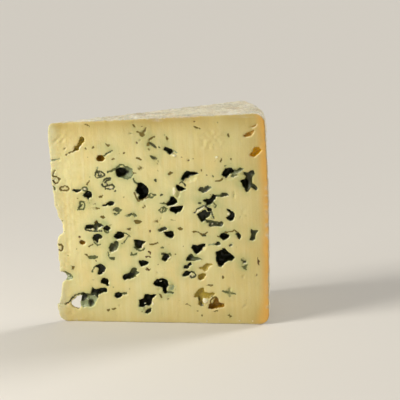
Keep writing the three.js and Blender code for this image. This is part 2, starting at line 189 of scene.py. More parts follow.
    ("black", 3.4, [(15.5, 60.2), (16.1, 61.0), (16.9, 62.0), (17.9, 62.1), (19.1, 61.7), (19.3, 60.6),
                    (18.9, 59.5), (18.2, 59.2), (17.4, 58.4), (16.8, 59.1), (16.0, 59.5)]),
    ("black", 2.8, [(24.0, 55.5), (25.4, 56.0), (26.6, 56.7), (28.0, 57.5), (29.6, 57.2), (29.3, 55.9),
                    (27.6, 55.6), (26.2, 55.7), (24.8, 55.1)]),
    ("black", 3.2, [(19.3, 26.7), (20.3, 27.6), (21.8, 27.6), (23.3, 27.0), (23.5, 25.8), (23.1, 24.5),
                    (22.5, 23.6), (21.0, 22.9), (20.1, 23.2), (20.5, 24.4), (20.8, 25.4), (20.3, 26.1)]),
    ("black", 3.2, [(21.2, 19.9), (21.8, 20.6), (23.0, 21.2), (24.3, 20.7), (24.8, 19.8), (24.4, 18.9),
                    (24.7, 17.8), (24.2, 17.4), (23.4, 18.1), (22.4, 18.7), (21.5, 18.9)]),
    ("black", 2.8, [(27.3, 12.9), (28.1, 14.0), (29.6, 14.3), (30.4, 13.9), (30.6, 12.9), (29.6, 12.0),
                    (28.4, 11.7), (27.5, 12.3)]),
    ("green", 1.0, [(30.2, 13.6), (31.8, 14.3), (33.4, 14.6), (33.2, 13.4), (31.4, 13.3), (30.4, 13.0)]),
    ("black", 3.2, [(53.7, 81.0), (54.1, 82.0), (55.4, 81.9), (56.6, 81.3), (57.8, 80.6), (57.5, 79.7),
                    (56.4, 79.0), (55.4, 79.7), (54.5, 80.3)]),
    ("black", 2.6, [(60.3, 26.5), (61.1, 27.4), (62.0, 27.3), (62.6, 28.3), (63.7, 28.8), (64.1, 28.0),
                    (63.2, 27.3), (62.8, 26.5), (61.8, 26.0), (60.7, 26.1)]),
    ("black", 3.0, [(59.8, 22.9), (60.5, 24.1), (61.8, 24.8), (63.0, 24.8), (64.0, 24.1), (62.8, 23.3),
                    (61.6, 22.7), (60.5, 22.3)]),
    ("resin", 2.4, [(66.7, 22.3), (67.4, 23.3), (69.2, 23.8), (70.6, 23.3), (69.8, 22.3), (69.0, 21.1),
                    (67.7, 20.8)]),
    ("resin", 1.4, [(67.8, 26.3), (69.3, 26.8), (70.3, 27.5), (71.3, 28.3), (73.4, 28.2), (71.6, 27.1),
                    (71.0, 26.1), (70.2, 25.2), (69.3, 25.9)]),
    ("resin", 2.0, [(65.0, 13.0), (66.0, 14.4), (67.0, 15.7), (68.9, 16.6), (69.3, 15.0), (68.9, 14.3),
                    (70.3, 14.5), (71.8, 13.9), (73.8, 14.3), (73.0, 13.1), (71.6, 12.5), (70.0, 12.6),
                    (68.6, 12.8), (68.5, 11.0), (68.2, 9.2), (67.2, 9.2), (67.3, 11.6), (66.6, 12.8)]),
    ("bark", 3.6, [(71.5, 9.2), (73.0, 9.5), (74.0, 10.3), (74.2, 11.4), (75.5, 12.0), (76.0, 10.9),
                    (75.7, 10.1), (77.2, 9.7), (78.4, 9.2), (77.9, 8.3), (76.0, 7.9), (74.0, 7.7),
                    (72.4, 7.1), (71.4, 7.1), (71.3, 8.2)]),
    ("honey", 2.0, [(89.8, 86.8), (91.0, 87.5), (92.4, 88.3), (94.0, 89.1), (93.7, 88.0), (92.7, 86.9),
                    (91.0, 86.4)]),
    ("honey", 1.1, [(92.6, 90.5), (94.0, 91.1), (95.8, 92.0), (94.7, 90.8), (93.4, 90.2)]),
    ("amber", 3.0, [(92.3, 78.3), (93.4, 79.5), (94.0, 80.7), (94.6, 81.5), (96.3, 81.5), (97.0, 80.4),
                    (96.3, 79.3), (95.2, 78.4), (93.8, 77.6), (92.9, 77.7)]),
    ("resin", 2.6, [(14.8, 84.3), (15.1, 85.6), (15.7, 86.7), (16.6, 87.0), (17.1, 86.0), (16.9, 85.1),
                    (16.0, 84.3), (15.2, 83.3), (14.5, 82.4), (14.2, 81.2), (12.4, 81.0), (12.8, 82.4),
                    (13.9, 82.9)]),
    ("bark", 3.4, [(22.6, 77.3), (23.1, 78.3), (24.4, 78.7), (25.7, 78.3), (26.2, 77.3), (25.3, 76.2),
                    (23.8, 76.0), (22.9, 76.5)]),
    ("bark", 2.4, [(12.3, 38.1), (12.8, 38.9), (14.2, 39.0), (14.9, 38.4), (14.7, 37.4), (13.6, 37.0),
                    (12.7, 37.3)]),
    ("black", 2.0, [(9.8, 62.6), (11.0, 62.9), (12.4, 63.1), (14.4, 63.0), (15.0, 62.6), (13.4, 62.1),
                    (12.6, 61.5), (11.5, 61.7), (10.8, 62.2)]),
    ("dark", 1.8, [(49.6, 44.1), (50.5, 44.9), (52.4, 45.3), (53.8, 45.1), (52.8, 44.3), (51.6, 43.9),
                   (50.8, 43.2), (49.9, 43.3)]),
    ("black", 1.8, [(74.6, 37.4), (76.2, 38.5), (77.3, 38.5), (77.6, 37.4), (76.2, 37.0)]),
    ("black", 1.4, [(81.5, 36.8), (82.2, 37.8), (83.2, 38.0), (82.7, 36.9), (82.1, 36.3)]),
    ("black", 1.8, [(87.8, 29.2), (88.1, 30.1), (89.0, 30.0), (89.1, 29.0), (88.3, 28.7)]),
    ("dark", 1.4, [(68.6, 62.5), (69.4, 63.3), (70.4, 63.7), (71.0, 63.1), (72.0, 63.7), (73.0, 64.6),
                   (74.2, 63.7), (73.0, 62.7), (72.2, 61.9), (70.8, 61.5), (69.7, 61.7)]),
    ("dark", 1.6, [(78.6, 59.7), (79.6, 60.8), (81.2, 61.2), (82.2, 60.3), (81.0, 59.7), (79.6, 59.4)]),
    ("dark", 1.6, [(71.6, 48.7), (72.8, 48.3), (74.2, 48.5), (75.2, 47.7), (76.6, 47.7), (78.4, 47.5),
                   (79.4, 47.2), (78.6, 45.9), (76.8, 46.3), (75.2, 46.1), (73.8, 45.8), (72.5, 46.1),
                   (73.2, 47.1), (71.9, 47.8)]),
]

# Soft patches of mould and greenish paste, flat in the face: tone, corners.
PATCHES = [
    ("slate", [(51.8, 18.8), (53.4, 18.2), (55.2, 17.8), (55.0, 16.4), (54.2, 15.6), (54.8, 14.2),
               (52.6, 14.2), (51.9, 15.6)]),
    ("slate", [(73.4, 53.4), (74.6, 53.2), (75.0, 51.0), (74.4, 49.2), (73.2, 49.4), (73.2, 51.0)]),
    ("slate", [(73.0, 56.6), (75.2, 56.8), (76.6, 55.6), (76.2, 54.6), (74.2, 54.8), (72.9, 55.2)]),
    ("slate", [(69.6, 56.6), (71.0, 57.0), (72.2, 56.4), (71.6, 55.6), (70.0, 55.2)]),
    ("tan", [(84.0, 71.4), (88.8, 71.4), (91.2, 70.2), (89.0, 68.8), (85.0, 68.8), (83.4, 69.8)]),
    ("tan", [(91.4, 68.6), (94.2, 70.6), (95.2, 66.0), (95.2, 62.6), (92.4, 61.8), (91.8, 64.0)]),
    ("tan", [(40.2, 8.4), (44.0, 8.4), (44.4, 6.6), (42.6, 5.8), (40.6, 6.2)]),
    ("tan", [(15.8, 58.6), (19.4, 58.8), (20.0, 57.0), (17.6, 56.0), (15.6, 56.8)]),
    ("tan", [(16.0, 55.2), (18.6, 55.6), (22.4, 54.4), (21.4, 53.6), (18.0, 53.8), (16.0, 54.0)]),
    ("tan", [(86.6, 31.2), (88.2, 32.0), (90.2, 30.2), (89.6, 28.0), (90.2, 26.0), (88.4, 25.2),
             (86.6, 27.4)]),
    ("tan", [(78.0, 15.8), (80.4, 16.6), (83.8, 15.0), (82.4, 13.2), (79.6, 13.8)]),
    ("tan", [(42.0, 88.8), (43.6, 89.8), (46.0, 90.2), (45.4, 87.4), (43.0, 86.8)]),
    ("tan", [(45.4, 83.8), (48.0, 85.6), (50.6, 82.4), (50.0, 81.0), (46.8, 80.6)]),
    ("tan", [(47.0, 78.4), (50.8, 78.2), (51.6, 75.4), (49.8, 74.6), (48.4, 76.2)]),
    ("tan", [(50.2, 33.6), (55.0, 33.4), (54.4, 32.0), (50.6, 32.2)]),
]

# Small shallow pits with mould in them: tone, corners.
STAINS = [
    ("green", [(86.8, 30.0), (87.2, 30.9), (87.9, 30.6), (87.8, 29.8)]),
    ("green", [(87.1, 27.2), (88.6, 27.7), (89.9, 28.2), (89.1, 26.6), (89.4, 25.4), (88.1, 26.1)]),
    ("green", [(80.4, 14.6), (80.9, 15.6), (81.9, 15.2), (81.6, 14.4)]),
    ("olive", [(16.8, 65.3), (17.6, 66.3), (18.8, 67.0), (18.3, 65.8), (17.6, 65.0)]),
    ("dark", [(16.4, 62.2), (16.8, 63.8), (17.6, 63.4), (17.2, 62.2)]),
    ("green", [(1.2, 64.6), (2.0, 64.4), (2.8, 63.6), (2.6, 62.7), (1.8, 62.7), (1.4, 63.6)]),
    ("dark", [(12.1, 54.3), (12.9, 55.4), (14.0, 55.7), (14.7, 56.2), (14.5, 55.1), (13.6, 54.7),
              (12.9, 54.0)]),
    ("olive", [(22.5, 59.5), (23.6, 60.0), (24.9, 60.5), (24.3, 59.6), (23.2, 59.2)]),
    ("olive", [(22.4, 49.9), (23.2, 50.7), (24.4, 51.0), (25.1, 50.0), (24.2, 49.3), (23.2, 49.5)]),
    ("green", [(29.1, 53.7), (30.0, 54.2), (31.4, 54.1), (32.8, 53.4), (31.9, 52.7), (30.6, 52.6)]),
    ("dark", [(29.6, 53.4), (31.6, 53.7), (31.2, 52.9), (30.0, 52.8)]),
    ("green", [(37.3, 51.3), (38.3, 52.0), (39.2, 51.6), (39.8, 50.2), (38.8, 49.6), (38.2, 50.6)]),
    ("olive", [(38.2, 48.0), (39.6, 48.9), (41.2, 48.7), (42.2, 47.9), (41.0, 47.0), (39.4, 47.0)]),
    ("olive", [(35.0, 44.4), (36.2, 44.9), (37.0, 45.1), (36.7, 44.0), (35.8, 43.9)]),
    ("olive", [(45.2, 37.1), (46.2, 38.0), (47.4, 37.9), (48.8, 38.5), (49.2, 38.0), (47.8, 37.3),
               (46.6, 36.9)]),
    ("green", [(50.0, 35.6), (50.8, 36.3), (52.0, 36.1), (51.7, 35.3)]),
    ("green", [(15.7, 31.1), (16.4, 31.9), (18.4, 31.8), (20.6, 31.5), (20.4, 30.6), (18.2, 30.3),
               (16.2, 30.3)]),
    ("green", [(25.5, 32.0), (26.2, 31.2), (27.4, 31.4), (28.6, 31.2), (28.6, 30.2), (27.2, 29.4),
               (26.0, 30.2)]),
    ("dark", [(26.4, 30.9), (28.2, 30.8), (27.4, 29.9)]),
    ("olive", [(7.5, 27.1), (8.4, 26.7), (9.3, 26.9), (8.8, 25.8), (8.5, 24.9), (7.9, 25.6)]),
    ("olive", [(23.3, 5.6), (23.8, 6.2), (24.8, 6.2), (24.9, 5.6), (24.1, 5.3)]),
    ("green", [(37.1, 32.2), (38.0, 33.1), (39.4, 33.5), (38.9, 32.5), (38.0, 32.0)]),
    ("brown", [(42.3, 25.9), (43.0, 26.4), (44.2, 25.9), (45.3, 25.7), (44.6, 24.9), (43.2, 25.0)]),
    ("dark", [(50.4, 32.7), (50.9, 33.5), (52.3, 33.4), (51.8, 32.6)]),
    ("olive", [(27.0, 84.0), (27.8, 83.8), (29.4, 83.3), (28.4, 82.5), (27.5, 82.9)]),
    ("olive", [(29.6, 80.4), (30.2, 81.0), (30.9, 80.8), (30.4, 80.2)]),
    ("olive", [(29.5, 76.7), (30.2, 77.2), (31.0, 76.9), (30.3, 76.4)]),
    ("olive", [(39.9, 92.6), (40.8, 92.5), (41.4, 91.1), (40.6, 91.2)]),
    ("olive", [(42.8, 88.4), (43.8, 88.9), (45.0, 88.3), (45.4, 87.6), (44.0, 86.9), (43.1, 87.6)]),
    ("olive", [(45.8, 83.2), (46.5, 83.9), (47.3, 83.6), (47.0, 82.7), (46.2, 82.5)]),
    ("dark", [(47.2, 78.1), (48.2, 78.4), (49.2, 77.6), (50.4, 77.3), (49.4, 76.4), (48.4, 76.9)]),
    ("olive", [(55.0, 87.0), (55.7, 86.9), (56.1, 85.9), (55.5, 84.6), (55.0, 85.4)]),
    ("olive", [(54.8, 69.9), (56.0, 71.0), (57.6, 70.7), (56.6, 69.7), (55.6, 69.2)]),
    ("dark", [(48.7, 67.2), (49.4, 67.7), (50.1, 67.1), (49.6, 66.4), (48.9, 66.5)]),
    ("dark", [(51.0, 60.2), (51.7, 60.9), (52.4, 60.6), (52.2, 59.8), (51.3, 59.6)]),
    ("green", [(50.9, 56.4), (52.2, 56.8), (53.6, 56.5), (52.4, 56.0)]),
    ("olive", [(64.8, 43.2), (66.0, 43.7), (67.2, 43.3), (66.0, 42.7)]),
    ("dark", [(69.0, 41.9), (70.0, 42.6), (70.9, 42.4), (71.4, 41.5), (70.0, 41.3)]),
    ("dark", [(67.7, 56.4), (68.8, 57.0), (70.0, 56.8), (69.4, 56.1)]),
    ("olive", [(70.4, 18.2), (71.8, 18.7), (73.8, 18.6), (74.0, 17.7), (72.2, 17.9)]),
    ("olive", [(60.0, 9.4), (61.8, 9.4), (63.3, 8.3), (61.7, 8.9)]),
    ("olive", [(80.0, 4.1), (81.0, 4.9), (81.9, 3.4), (80.9, 2.9), (81.2, 3.7)]),
    ("olive", [(48.3, 13.9), (49.0, 13.8), (50.1, 12.4), (49.3, 12.0)]),
    ("brown", [(94.4, 31.4), (95.0, 30.2), (95.2, 28.2), (94.6, 27.4), (94.4, 29.2)]),
    ("green", [(80.4, 73.4), (81.2, 73.8), (82.0, 73.5), (81.2, 73.0)]),
    ("olive", [(79.0, 76.4), (79.6, 77.2), (79.9, 76.2), (79.3, 74.6), (78.9, 75.2)]),
    ("green", [(75.1, 69.2), (75.6, 69.4), (75.9, 68.4), (75.2, 68.2)]),
    ("dark", [(30.0, 61.8), (30.8, 62.5), (31.0, 61.8), (29.6, 61.5)]),
    ("green", [(39.2, 67.9), (39.7, 67.6), (40.7, 66.0), (40.0, 66.0), (39.2, 67.0)]),
]

# Thin lines of mould: tone, half width, points. Where the first point is the last, the line is closed.
VEINS = [
    ("dark", 0.22, [(3.4, 8.4), (5.0, 9.2), (6.2, 10.0), (7.0, 11.0), (8.2, 12.1), (9.2, 13.1), (10.2, 13.6),
                    (11.4, 13.4), (12.6, 13.6)]),
    ("dark", 0.26, [(12.6, 13.5), (14.2, 12.9), (16.0, 13.3), (16.6, 14.0)]),
    ("tan", 0.20, [(0.0, 8.9), (2.0, 8.4), (3.4, 8.4)]),
    ("green", 0.20, [(2.4, 23.8), (4.2, 24.0), (5.2, 23.7), (6.2, 23.0), (7.2, 22.5), (7.9, 21.5)]),
    ("olive", 0.20, [(4.6, 63.4), (5.2, 64.2), (7.0, 64.4), (8.3, 64.2), (8.7, 63.4), (8.2, 62.7),
                     (6.5, 62.5), (5.2, 62.7), (4.6, 63.4)]),
    ("olive", 0.22, [(1.3, 69.4), (2.4, 69.1), (3.6, 68.7), (4.7, 67.8), (4.3, 66.6), (3.0, 66.0),
                     (2.0, 66.4), (1.5, 67.0)]),
    ("tan", 0.25, [(1.6, 69.4), (2.0, 70.6), (2.8, 71.8)]),
    ("green", 0.20, [(15.1, 63.4), (16.0, 64.1), (17.1, 63.8), (17.4, 63.0), (16.7, 62.2), (15.8, 62.4),
                     (15.1, 63.4)]),
    ("green", 0.24, [(13.9, 55.9), (13.4, 56.7), (14.2, 57.3), (15.3, 57.0), (15.8, 55.7), (15.6, 54.5),
                     (15.0, 53.6), (13.6, 53.4), (12.3, 53.6)]),
    ("green", 0.24, [(29.2, 53.4), (30.0, 54.1), (31.4, 54.0), (32.6, 53.4), (31.6, 52.2), (30.6, 51.2),
                     (29.6, 51.5)]),
    ("olive", 0.18, [(20.2, 56.0), (20.8, 56.2)]),
    ("olive", 0.18, [(21.2, 54.5), (22.6, 54.0)]),
    ("dark", 0.18, [(15.2, 44.8), (15.8, 44.0), (17.4, 43.5), (19.4, 43.3), (21.6, 43.3), (23.0, 43.4)]),
    ("green", 0.16, [(24.3, 44.2), (24.6, 43.2), (25.6, 42.6), (26.4, 43.0)]),
    ("tan", 0.18, [(26.6, 45.6), (27.8, 46.5)]),
    ("green", 0.22, [(18.9, 39.8), (18.9, 38.6), (19.5, 37.5), (20.6, 36.9), (21.8, 37.1)]),
    ("dark", 0.22, [(26.4, 35.8), (27.2, 37.2), (28.4, 37.4), (29.6, 38.4)]),
    ("dark", 0.24, [(28.0, 37.0), (29.0, 36.2), (29.4, 35.2)]),
    ("dark", 0.26, [(26.6, 34.2), (27.2, 35.2), (27.8, 36.2)]),
    ("olive", 0.20, [(2.5, 36.9), (3.6, 37.0), (4.3, 36.0), (3.9, 34.8), (3.2, 34.0), (2.4, 34.5)]),
    ("green", 0.20, [(33.6, 42.4), (34.6, 42.4), (36.1, 41.2), (34.8, 40.3), (34.0, 39.0), (33.2, 38.1),
                     (32.2, 37.8)]),
    ("dark", 0.20, [(21.4, 69.2), (22.0, 70.8), (22.2, 71.6), (23.4, 71.3), (25.2, 70.7), (26.0, 69.6),
                    (25.0, 68.9), (24.0, 68.5), (22.4, 68.2), (21.4, 69.2)]),
    ("dark", 0.24, [(22.5, 70.9), (23.5, 70.2), (23.1, 69.3), (24.4, 69.6)]),
    ("dark", 0.24, [(25.2, 64.2), (24.5, 65.2), (25.0, 66.4), (25.6, 67.6), (27.0, 68.3), (28.5, 68.2),
                    (28.2, 67.3), (26.6, 66.9), (26.0, 66.0), (26.9, 65.3)]),
    ("dark", 0.22, [(25.4, 64.0), (26.8, 64.8), (29.2, 65.0), (30.1, 64.0), (29.4, 63.0), (27.4, 63.3),
                    (25.8, 63.2)]),
    ("green", 0.20, [(27.2, 71.0), (29.0, 71.3), (30.4, 72.2), (31.6, 72.6), (33.0, 74.1), (34.4, 74.3),
                     (35.6, 73.3), (37.2, 72.9), (38.5, 71.9), (38.8, 70.2), (37.7, 68.4), (36.4, 67.6)]),
    ("green", 0.22, [(26.2, 78.4), (27.2, 79.2), (28.4, 80.0), (29.8, 80.5)]),
    ("olive", 0.14, [(18.4, 92.6), (19.2, 92.5), (20.1, 92.0)]),
    ("olive", 0.18, [(8.8, 79.1), (9.8, 79.7), (10.6, 79.9), (12.4, 81.0)]),
    ("olive", 0.20, [(35.2, 79.4), (35.8, 79.9)]),
    ("slate", 0.22, [(1.2, 76.4), (2.4, 76.8), (3.8, 76.9), (5.4, 77.1)]),
    ("green", 0.20, [(17.4, 24.2), (17.9, 25.4), (18.6, 26.3), (19.6, 26.9)]),
    ("olive", 0.16, [(14.5, 32.4), (15.2, 32.2), (16.0, 31.5)]),
    ("olive", 0.16, [(16.4, 36.1), (18.6, 37.1)]),
    ("olive", 0.20, [(26.0, 6.3), (27.4, 6.5)]),
    ("green", 0.16, [(25.4, 33.4), (25.8, 32.2)]),
    ("olive", 0.20, [(39.2, 61.2), (39.9, 60.0), (40.2, 58.6), (40.8, 57.7), (42.4, 57.8), (44.2, 58.5),
                     (45.6, 59.3)]),
    ("green", 0.22, [(45.4, 60.2), (47.0, 61.0), (48.8, 60.3), (47.4, 59.3), (45.8, 59.0)]),
    ("green", 0.20, [(39.2, 67.9), (39.6, 66.4), (41.0, 65.4)]),
    ("dark", 0.18, [(60.3, 65.4), (61.2, 66.2), (62.5, 65.5), (62.9, 64.5)]),
    ("green", 0.20, [(50.2, 53.0), (51.4, 54.2), (52.6, 54.6), (53.7, 53.8), (52.6, 52.6), (51.4, 52.1),
                     (50.2, 53.0)]),
    ("green", 0.16, [(51.6, 52.8), (52.4, 53.9)]),
    ("olive", 0.18, [(43.0, 54.3), (44.0, 54.7), (43.8, 55.6)]),
    ("green", 0.24, [(34.6, 50.6), (36.6, 50.9), (37.6, 51.5)]),
    ("olive", 0.20, [(48.3, 47.8), (49.4, 48.3), (49.1, 47.4)]),
    ("tan", 0.16, [(50.2, 46.4), (50.4, 48.4), (51.2, 49.8)]),
    ("tan", 0.20, [(55.2, 49.0), (56.0, 48.5), (57.2, 48.6)]),
    ("olive", 0.20, [(58.8, 44.8), (59.8, 45.1), (60.6, 44.6), (59.6, 44.4)]),
    ("green", 0.20, [(38.0, 36.0), (38.6, 34.9), (40.6, 34.5), (42.2, 34.7), (43.0, 35.4)]),
    ("brown", 0.16, [(44.3, 33.9), (45.2, 33.5), (45.5, 32.8)]),
    ("brown", 0.18, [(43.1, 31.3), (44.2, 31.9), (45.2, 31.4)]),
    ("green", 0.24, [(36.4, 33.2), (36.4, 32.4), (37.2, 32.2)]),
    ("green", 0.20, [(53.6, 32.4), (54.4, 33.2), (55.0, 32.4)]),
    ("dark", 0.24, [(63.8, 24.4), (65.3, 24.2), (66.0, 23.0), (65.2, 22.0), (64.0, 21.8), (63.1, 22.5)]),
    ("slate", 0.26, [(54.0, 17.8), (55.0, 17.9), (55.4, 17.0), (54.8, 16.2), (53.8, 16.6)]),
    ("green", 0.24, [(52.0, 14.4), (53.4, 15.0), (54.8, 14.4)]),
    ("dark", 0.20, [(67.4, 9.4), (68.0, 8.6), (69.0, 8.5)]),
    ("dark", 0.24, [(66.8, 12.8), (67.2, 11.0), (67.4, 9.6)]),
    ("olive", 0.22, [(72.0, 10.4), (73.1, 11.9), (74.4, 12.6), (75.4, 12.2)]),
    ("olive", 0.16, [(74.0, 5.8), (75.2, 6.2)]),
    ("green", 0.22, [(78.2, 15.4), (80.4, 15.1), (82.0, 14.7), (84.0, 14.4)]),
    ("tan", 0.22, [(81.2, 13.2), (81.3, 16.8)]),
    ("olive", 0.14, [(38.4, 70.4), (40.3, 70.2)]),
    ("slate", 0.20, [(57.6, 80.8), (58.6, 80.4), (59.3, 79.4)]),
    ("olive", 0.22, [(41.0, 77.2), (42.2, 77.1), (43.1, 76.5)]),
    ("tan", 0.22, [(41.2, 73.0), (42.4, 73.6), (43.7, 73.0), (43.5, 72.0), (42.4, 71.4), (41.3, 72.0),
                   (41.2, 73.0)]),
    ("olive", 0.18, [(41.8, 72.4), (42.6, 72.8)]),
    ("olive", 0.22, [(44.2, 88.6), (45.4, 89.4), (45.8, 90.4)]),
    ("olive", 0.20, [(42.0, 89.2), (42.8, 88.6)]),
    ("olive", 0.20, [(46.6, 83.8), (47.2, 85.0), (48.4, 86.2), (49.8, 86.8)]),
    ("dark", 0.30, [(47.8, 83.9), (49.2, 83.0), (50.3, 81.7)]),
    ("green", 0.16, [(51.2, 82.2), (51.8, 81.8)]),
    ("tan", 0.22, [(38.6, 88.4), (40.0, 88.3)]),
    ("green", 0.20, [(76.0, 59.7), (77.6, 59.8), (79.0, 60.2)]),
    ("tan", 0.30, [(84.6, 61.2), (84.6, 59.6)]),
    ("dark", 0.20, [(66.3, 52.0), (68.0, 53.8), (70.2, 54.7), (72.4, 55.7)]),
    ("dark", 0.18, [(74.3, 52.2), (75.2, 49.6)]),
    ("green", 0.20, [(73.0, 56.4), (75.4, 56.6), (76.6, 55.4), (76.1, 54.7)]),
    ("olive", 0.20, [(80.2, 43.2), (82.6, 43.3), (84.4, 44.0), (86.0, 43.2)]),
    ("olive", 0.20, [(65.8, 43.4), (67.6, 43.2), (68.6, 42.5), (69.6, 42.0)]),
    ("olive", 0.16, [(70.8, 42.5), (72.2, 43.2)]),
    ("slate", 0.22, [(72.4, 37.2), (74.8, 37.5)]),
    ("olive", 0.20, [(76.8, 66.5), (78.4, 66.6), (79.8, 67.6)]),
    ("olive", 0.13, [(68.0, 91.1), (69.2, 90.4), (70.5, 90.0)]),
    ("tan", 0.30, [(86.6, 49.6), (87.2, 50.2)]),
]

# Small round dots and pits: tone, u, z, width, height, tilt.
SPOTS = [
    ("olive", 17.9, 81.7, 0.9, 1.1, 0), ("olive", 21.2, 82.2, 1.0, 0.9, 0), ("tan", 8.2, 81.9, 0.9, 0.9, 0),
    ("slate", 22.8, 73.1, 1.4, 0.7, 20), ("brown", 12.4, 40.7, 1.0, 0.7, 0), ("tan", 2.6, 26.6, 0.9, 0.8, 0),
    ("brown", 45.8, 43.6, 1.0, 1.3, 0), ("tan", 54.2, 37.4, 1.0, 0.6, 0), ("brown", 64.6, 75.9, 1.0, 0.9, 0),
    ("brown", 61.8, 77.6, 0.5, 0.6, 0), ("olive", 46.9, 81.1, 0.7, 0.8, 0), ("tan", 51.7, 78.6, 0.5, 0.8, 0),
    ("olive", 44.4, 91.7, 0.8, 0.5, 0), ("tan", 54.4, 87.4, 0.9, 0.7, 0), ("tan", 50.4, 71.3, 0.9, 0.7, 0),
    ("tan", 50.6, 74.5, 0.8, 0.7, 0), ("brown", 68.0, 93.4, 0.7, 0.6, 0), ("tan", 78.5, 92.6, 0.7, 0.9, 0),
    ("olive", 83.1, 87.0, 0.9, 1.6, 8), ("olive", 83.8, 76.5, 0.8, 0.8, 0), ("tan", 83.6, 74.6, 0.9, 0.7, 0),
    ("tan", 76.8, 75.6, 0.6, 0.8, 0), ("olive", 70.5, 71.6, 0.6, 1.1, 0), ("brown", 72.8, 69.2, 0.6, 0.5, 0),
    ("olive", 66.9, 76.6, 0.6, 0.5, 0), ("olive", 78.5, 22.2, 0.6, 1.2, 12),
    ("brown", 93.8, 23.2, 0.6, 0.9, 0),
    ("olive", 68.3, 3.9, 0.5, 0.9, -20), ("tan", 29.5, 8.0, 0.7, 0.8, 0), ("tan", 28.0, 3.1, 0.7, 0.5, 0),
    ("tan", 17.6, 20.4, 1.1, 0.6, 0), ("tan", 6.4, 31.5, 1.1, 0.7, -30), ("olive", 52.6, 11.4, 0.8, 0.7, 0),
    ("tan", 58.0, 11.0, 0.6, 0.5, 0), ("olive", 66.1, 6.0, 0.8, 0.5, 0), ("brown", 19.7, 29.4, 0.4, 0.9, 0),
    ("olive", 40.2, 5.4, 0.7, 0.8, 0), ("tan", 38.3, 51.0, 0.6, 0.5, 0), ("olive", 76.8, 41.0, 0.7, 0.7, 0),
    ("green", 84.9, 49.6, 0.5, 0.7, 0), ("tan", 89.7, 50.6, 0.8, 0.8, 0), ("olive", 57.0, 32.7, 0.9, 0.8, 0),
    ("tan", 40.4, 45.0, 0.6, 0.5, 0), ("tan", 33.2, 79.0, 0.7, 0.5, 0), ("tan", 43.2, 85.4, 0.8, 0.8, 0),
    ("tan", 26.9, 22.8, 0.5, 0.4, 0), ("tan", 51.4, 25.6, 0.6, 0.6, 0), ("tan", 48.2, 24.0, 0.7, 0.5, 0),
    ("tan", 21.0, 79.4, 1.0, 0.5, 0), ("tan", 26.4, 72.2, 0.8, 0.4, 0), ("olive", 4.6, 48.3, 0.9, 0.7, -40),
    ("olive", 12.8, 58.6, 0.5, 0.5, 0), ("tan", 2.8, 55.6, 0.6, 0.5, 0), ("tan", 34.3, 59.2, 0.8, 0.6, 0),
    ("olive", 60.6, 36.6, 0.4, 0.6, 0), ("tan", 34.6, 16.2, 0.7, 0.5, 0), ("tan", 85.0, 36.2, 0.6, 0.6, 0),
]

# Bits of paste raised in the face with cream painted on their tops, partly pale paste and partly painted
# highlights, glints of wet mould: u, z, width, height, tilt, depth of their tops below the face.
FLECKS_AND_GLINTS = [
    (57.5, 62.1, 1.1, 4.0, -4, 0.0), (40.7, 60.4, 0.8, 0.9, 0, 0.5), (17.6, 61.2, 0.7, 0.8, 0, 0.8),
    (49.2, 19.6, 1.7, 0.7, 0, 1.4), (22.5, 45.1, 0.55, 2.4, -38, 0.2), (19.0, 44.4, 0.6, 0.5, 0, 0.2),
    (22.4, 23.5, 0.8, 0.5, 0, 0.2), (25.0, 18.9, 0.6, 1.0, -15, 0.1), (25.1, 17.2, 0.6, 0.5, 0, 0.0),
    (41.6, 8.9, 0.9, 0.7, 0, 0.6), (45.2, 9.2, 0.9, 1.6, -10, -0.1), (36.8, 20.9, 0.7, 0.6, 0, -0.1),
    (54.0, 31.0, 0.5, 1.8, -50, -0.1), (58.3, 78.2, 1.2, 1.3, 0, -0.3), (81.8, 51.4, 1.2, 1.3, 0, 0.5),
    (42.1, 36.4, 0.5, 1.5, -20, 0.2), (69.7, 11.0, 2.2, 2.4, 0, -0.1), (88.4, 28.5, 0.7, 0.4, 0, 0.1),
    (77.6, 77.4, 1.3, 0.8, 0, -0.2), (15.3, 82.2, 0.6, 1.2, -20, -0.1), (14.95, 55.1, 0.5, 0.5, 0, 0.0),
    (28.4, 63.8, 1.1, 0.5, 0, 0.0), (26.5, 65.6, 0.5, 0.6, 0, 0.0), (23.7, 70.0, 0.5, 0.4, 0, 0.0),
    (2.5, 67.4, 0.6, 0.6, 0, 0.0), (3.2, 35.4, 0.5, 0.8, 0, 0.0), (57.0, 55.4, 4.6, 0.45, 8, 0.0),
    (69.2, 53.5, 4.8, 0.4, 36, 0.4), (72.1, 54.3, 0.7, 0.45, -30, 0.4), (31.0, 39.6, 2.8, 0.45, 6, 0.0),
    (64.5, 22.9, 1.0, 0.5, 0, 0.1), (74.4, 47.0, 0.8, 0.4, 20, 0.3), (77.0, 47.0, 0.9, 0.4, -10, 0.3),
    (16.2, 63.2, 0.6, 0.6, 0, 0.0), (12.8, 11.0, 0.5, 0.5, 0, 0.8), (17.6, 12.5, 0.9, 0.5, 0, 0.4),
    (14.2, 10.6, 1.0, 0.4, -30, 0.9), (6.0, 22.0, 0.5, 0.9, 30, 0.6), (91.3, 1.6, 0.9, 0.5, 0, -0.1),
    (85.4, 1.4, 0.7, 0.5, 0, -0.1), (70.3, 1.1, 0.8, 0.5, 0, -0.1),
]

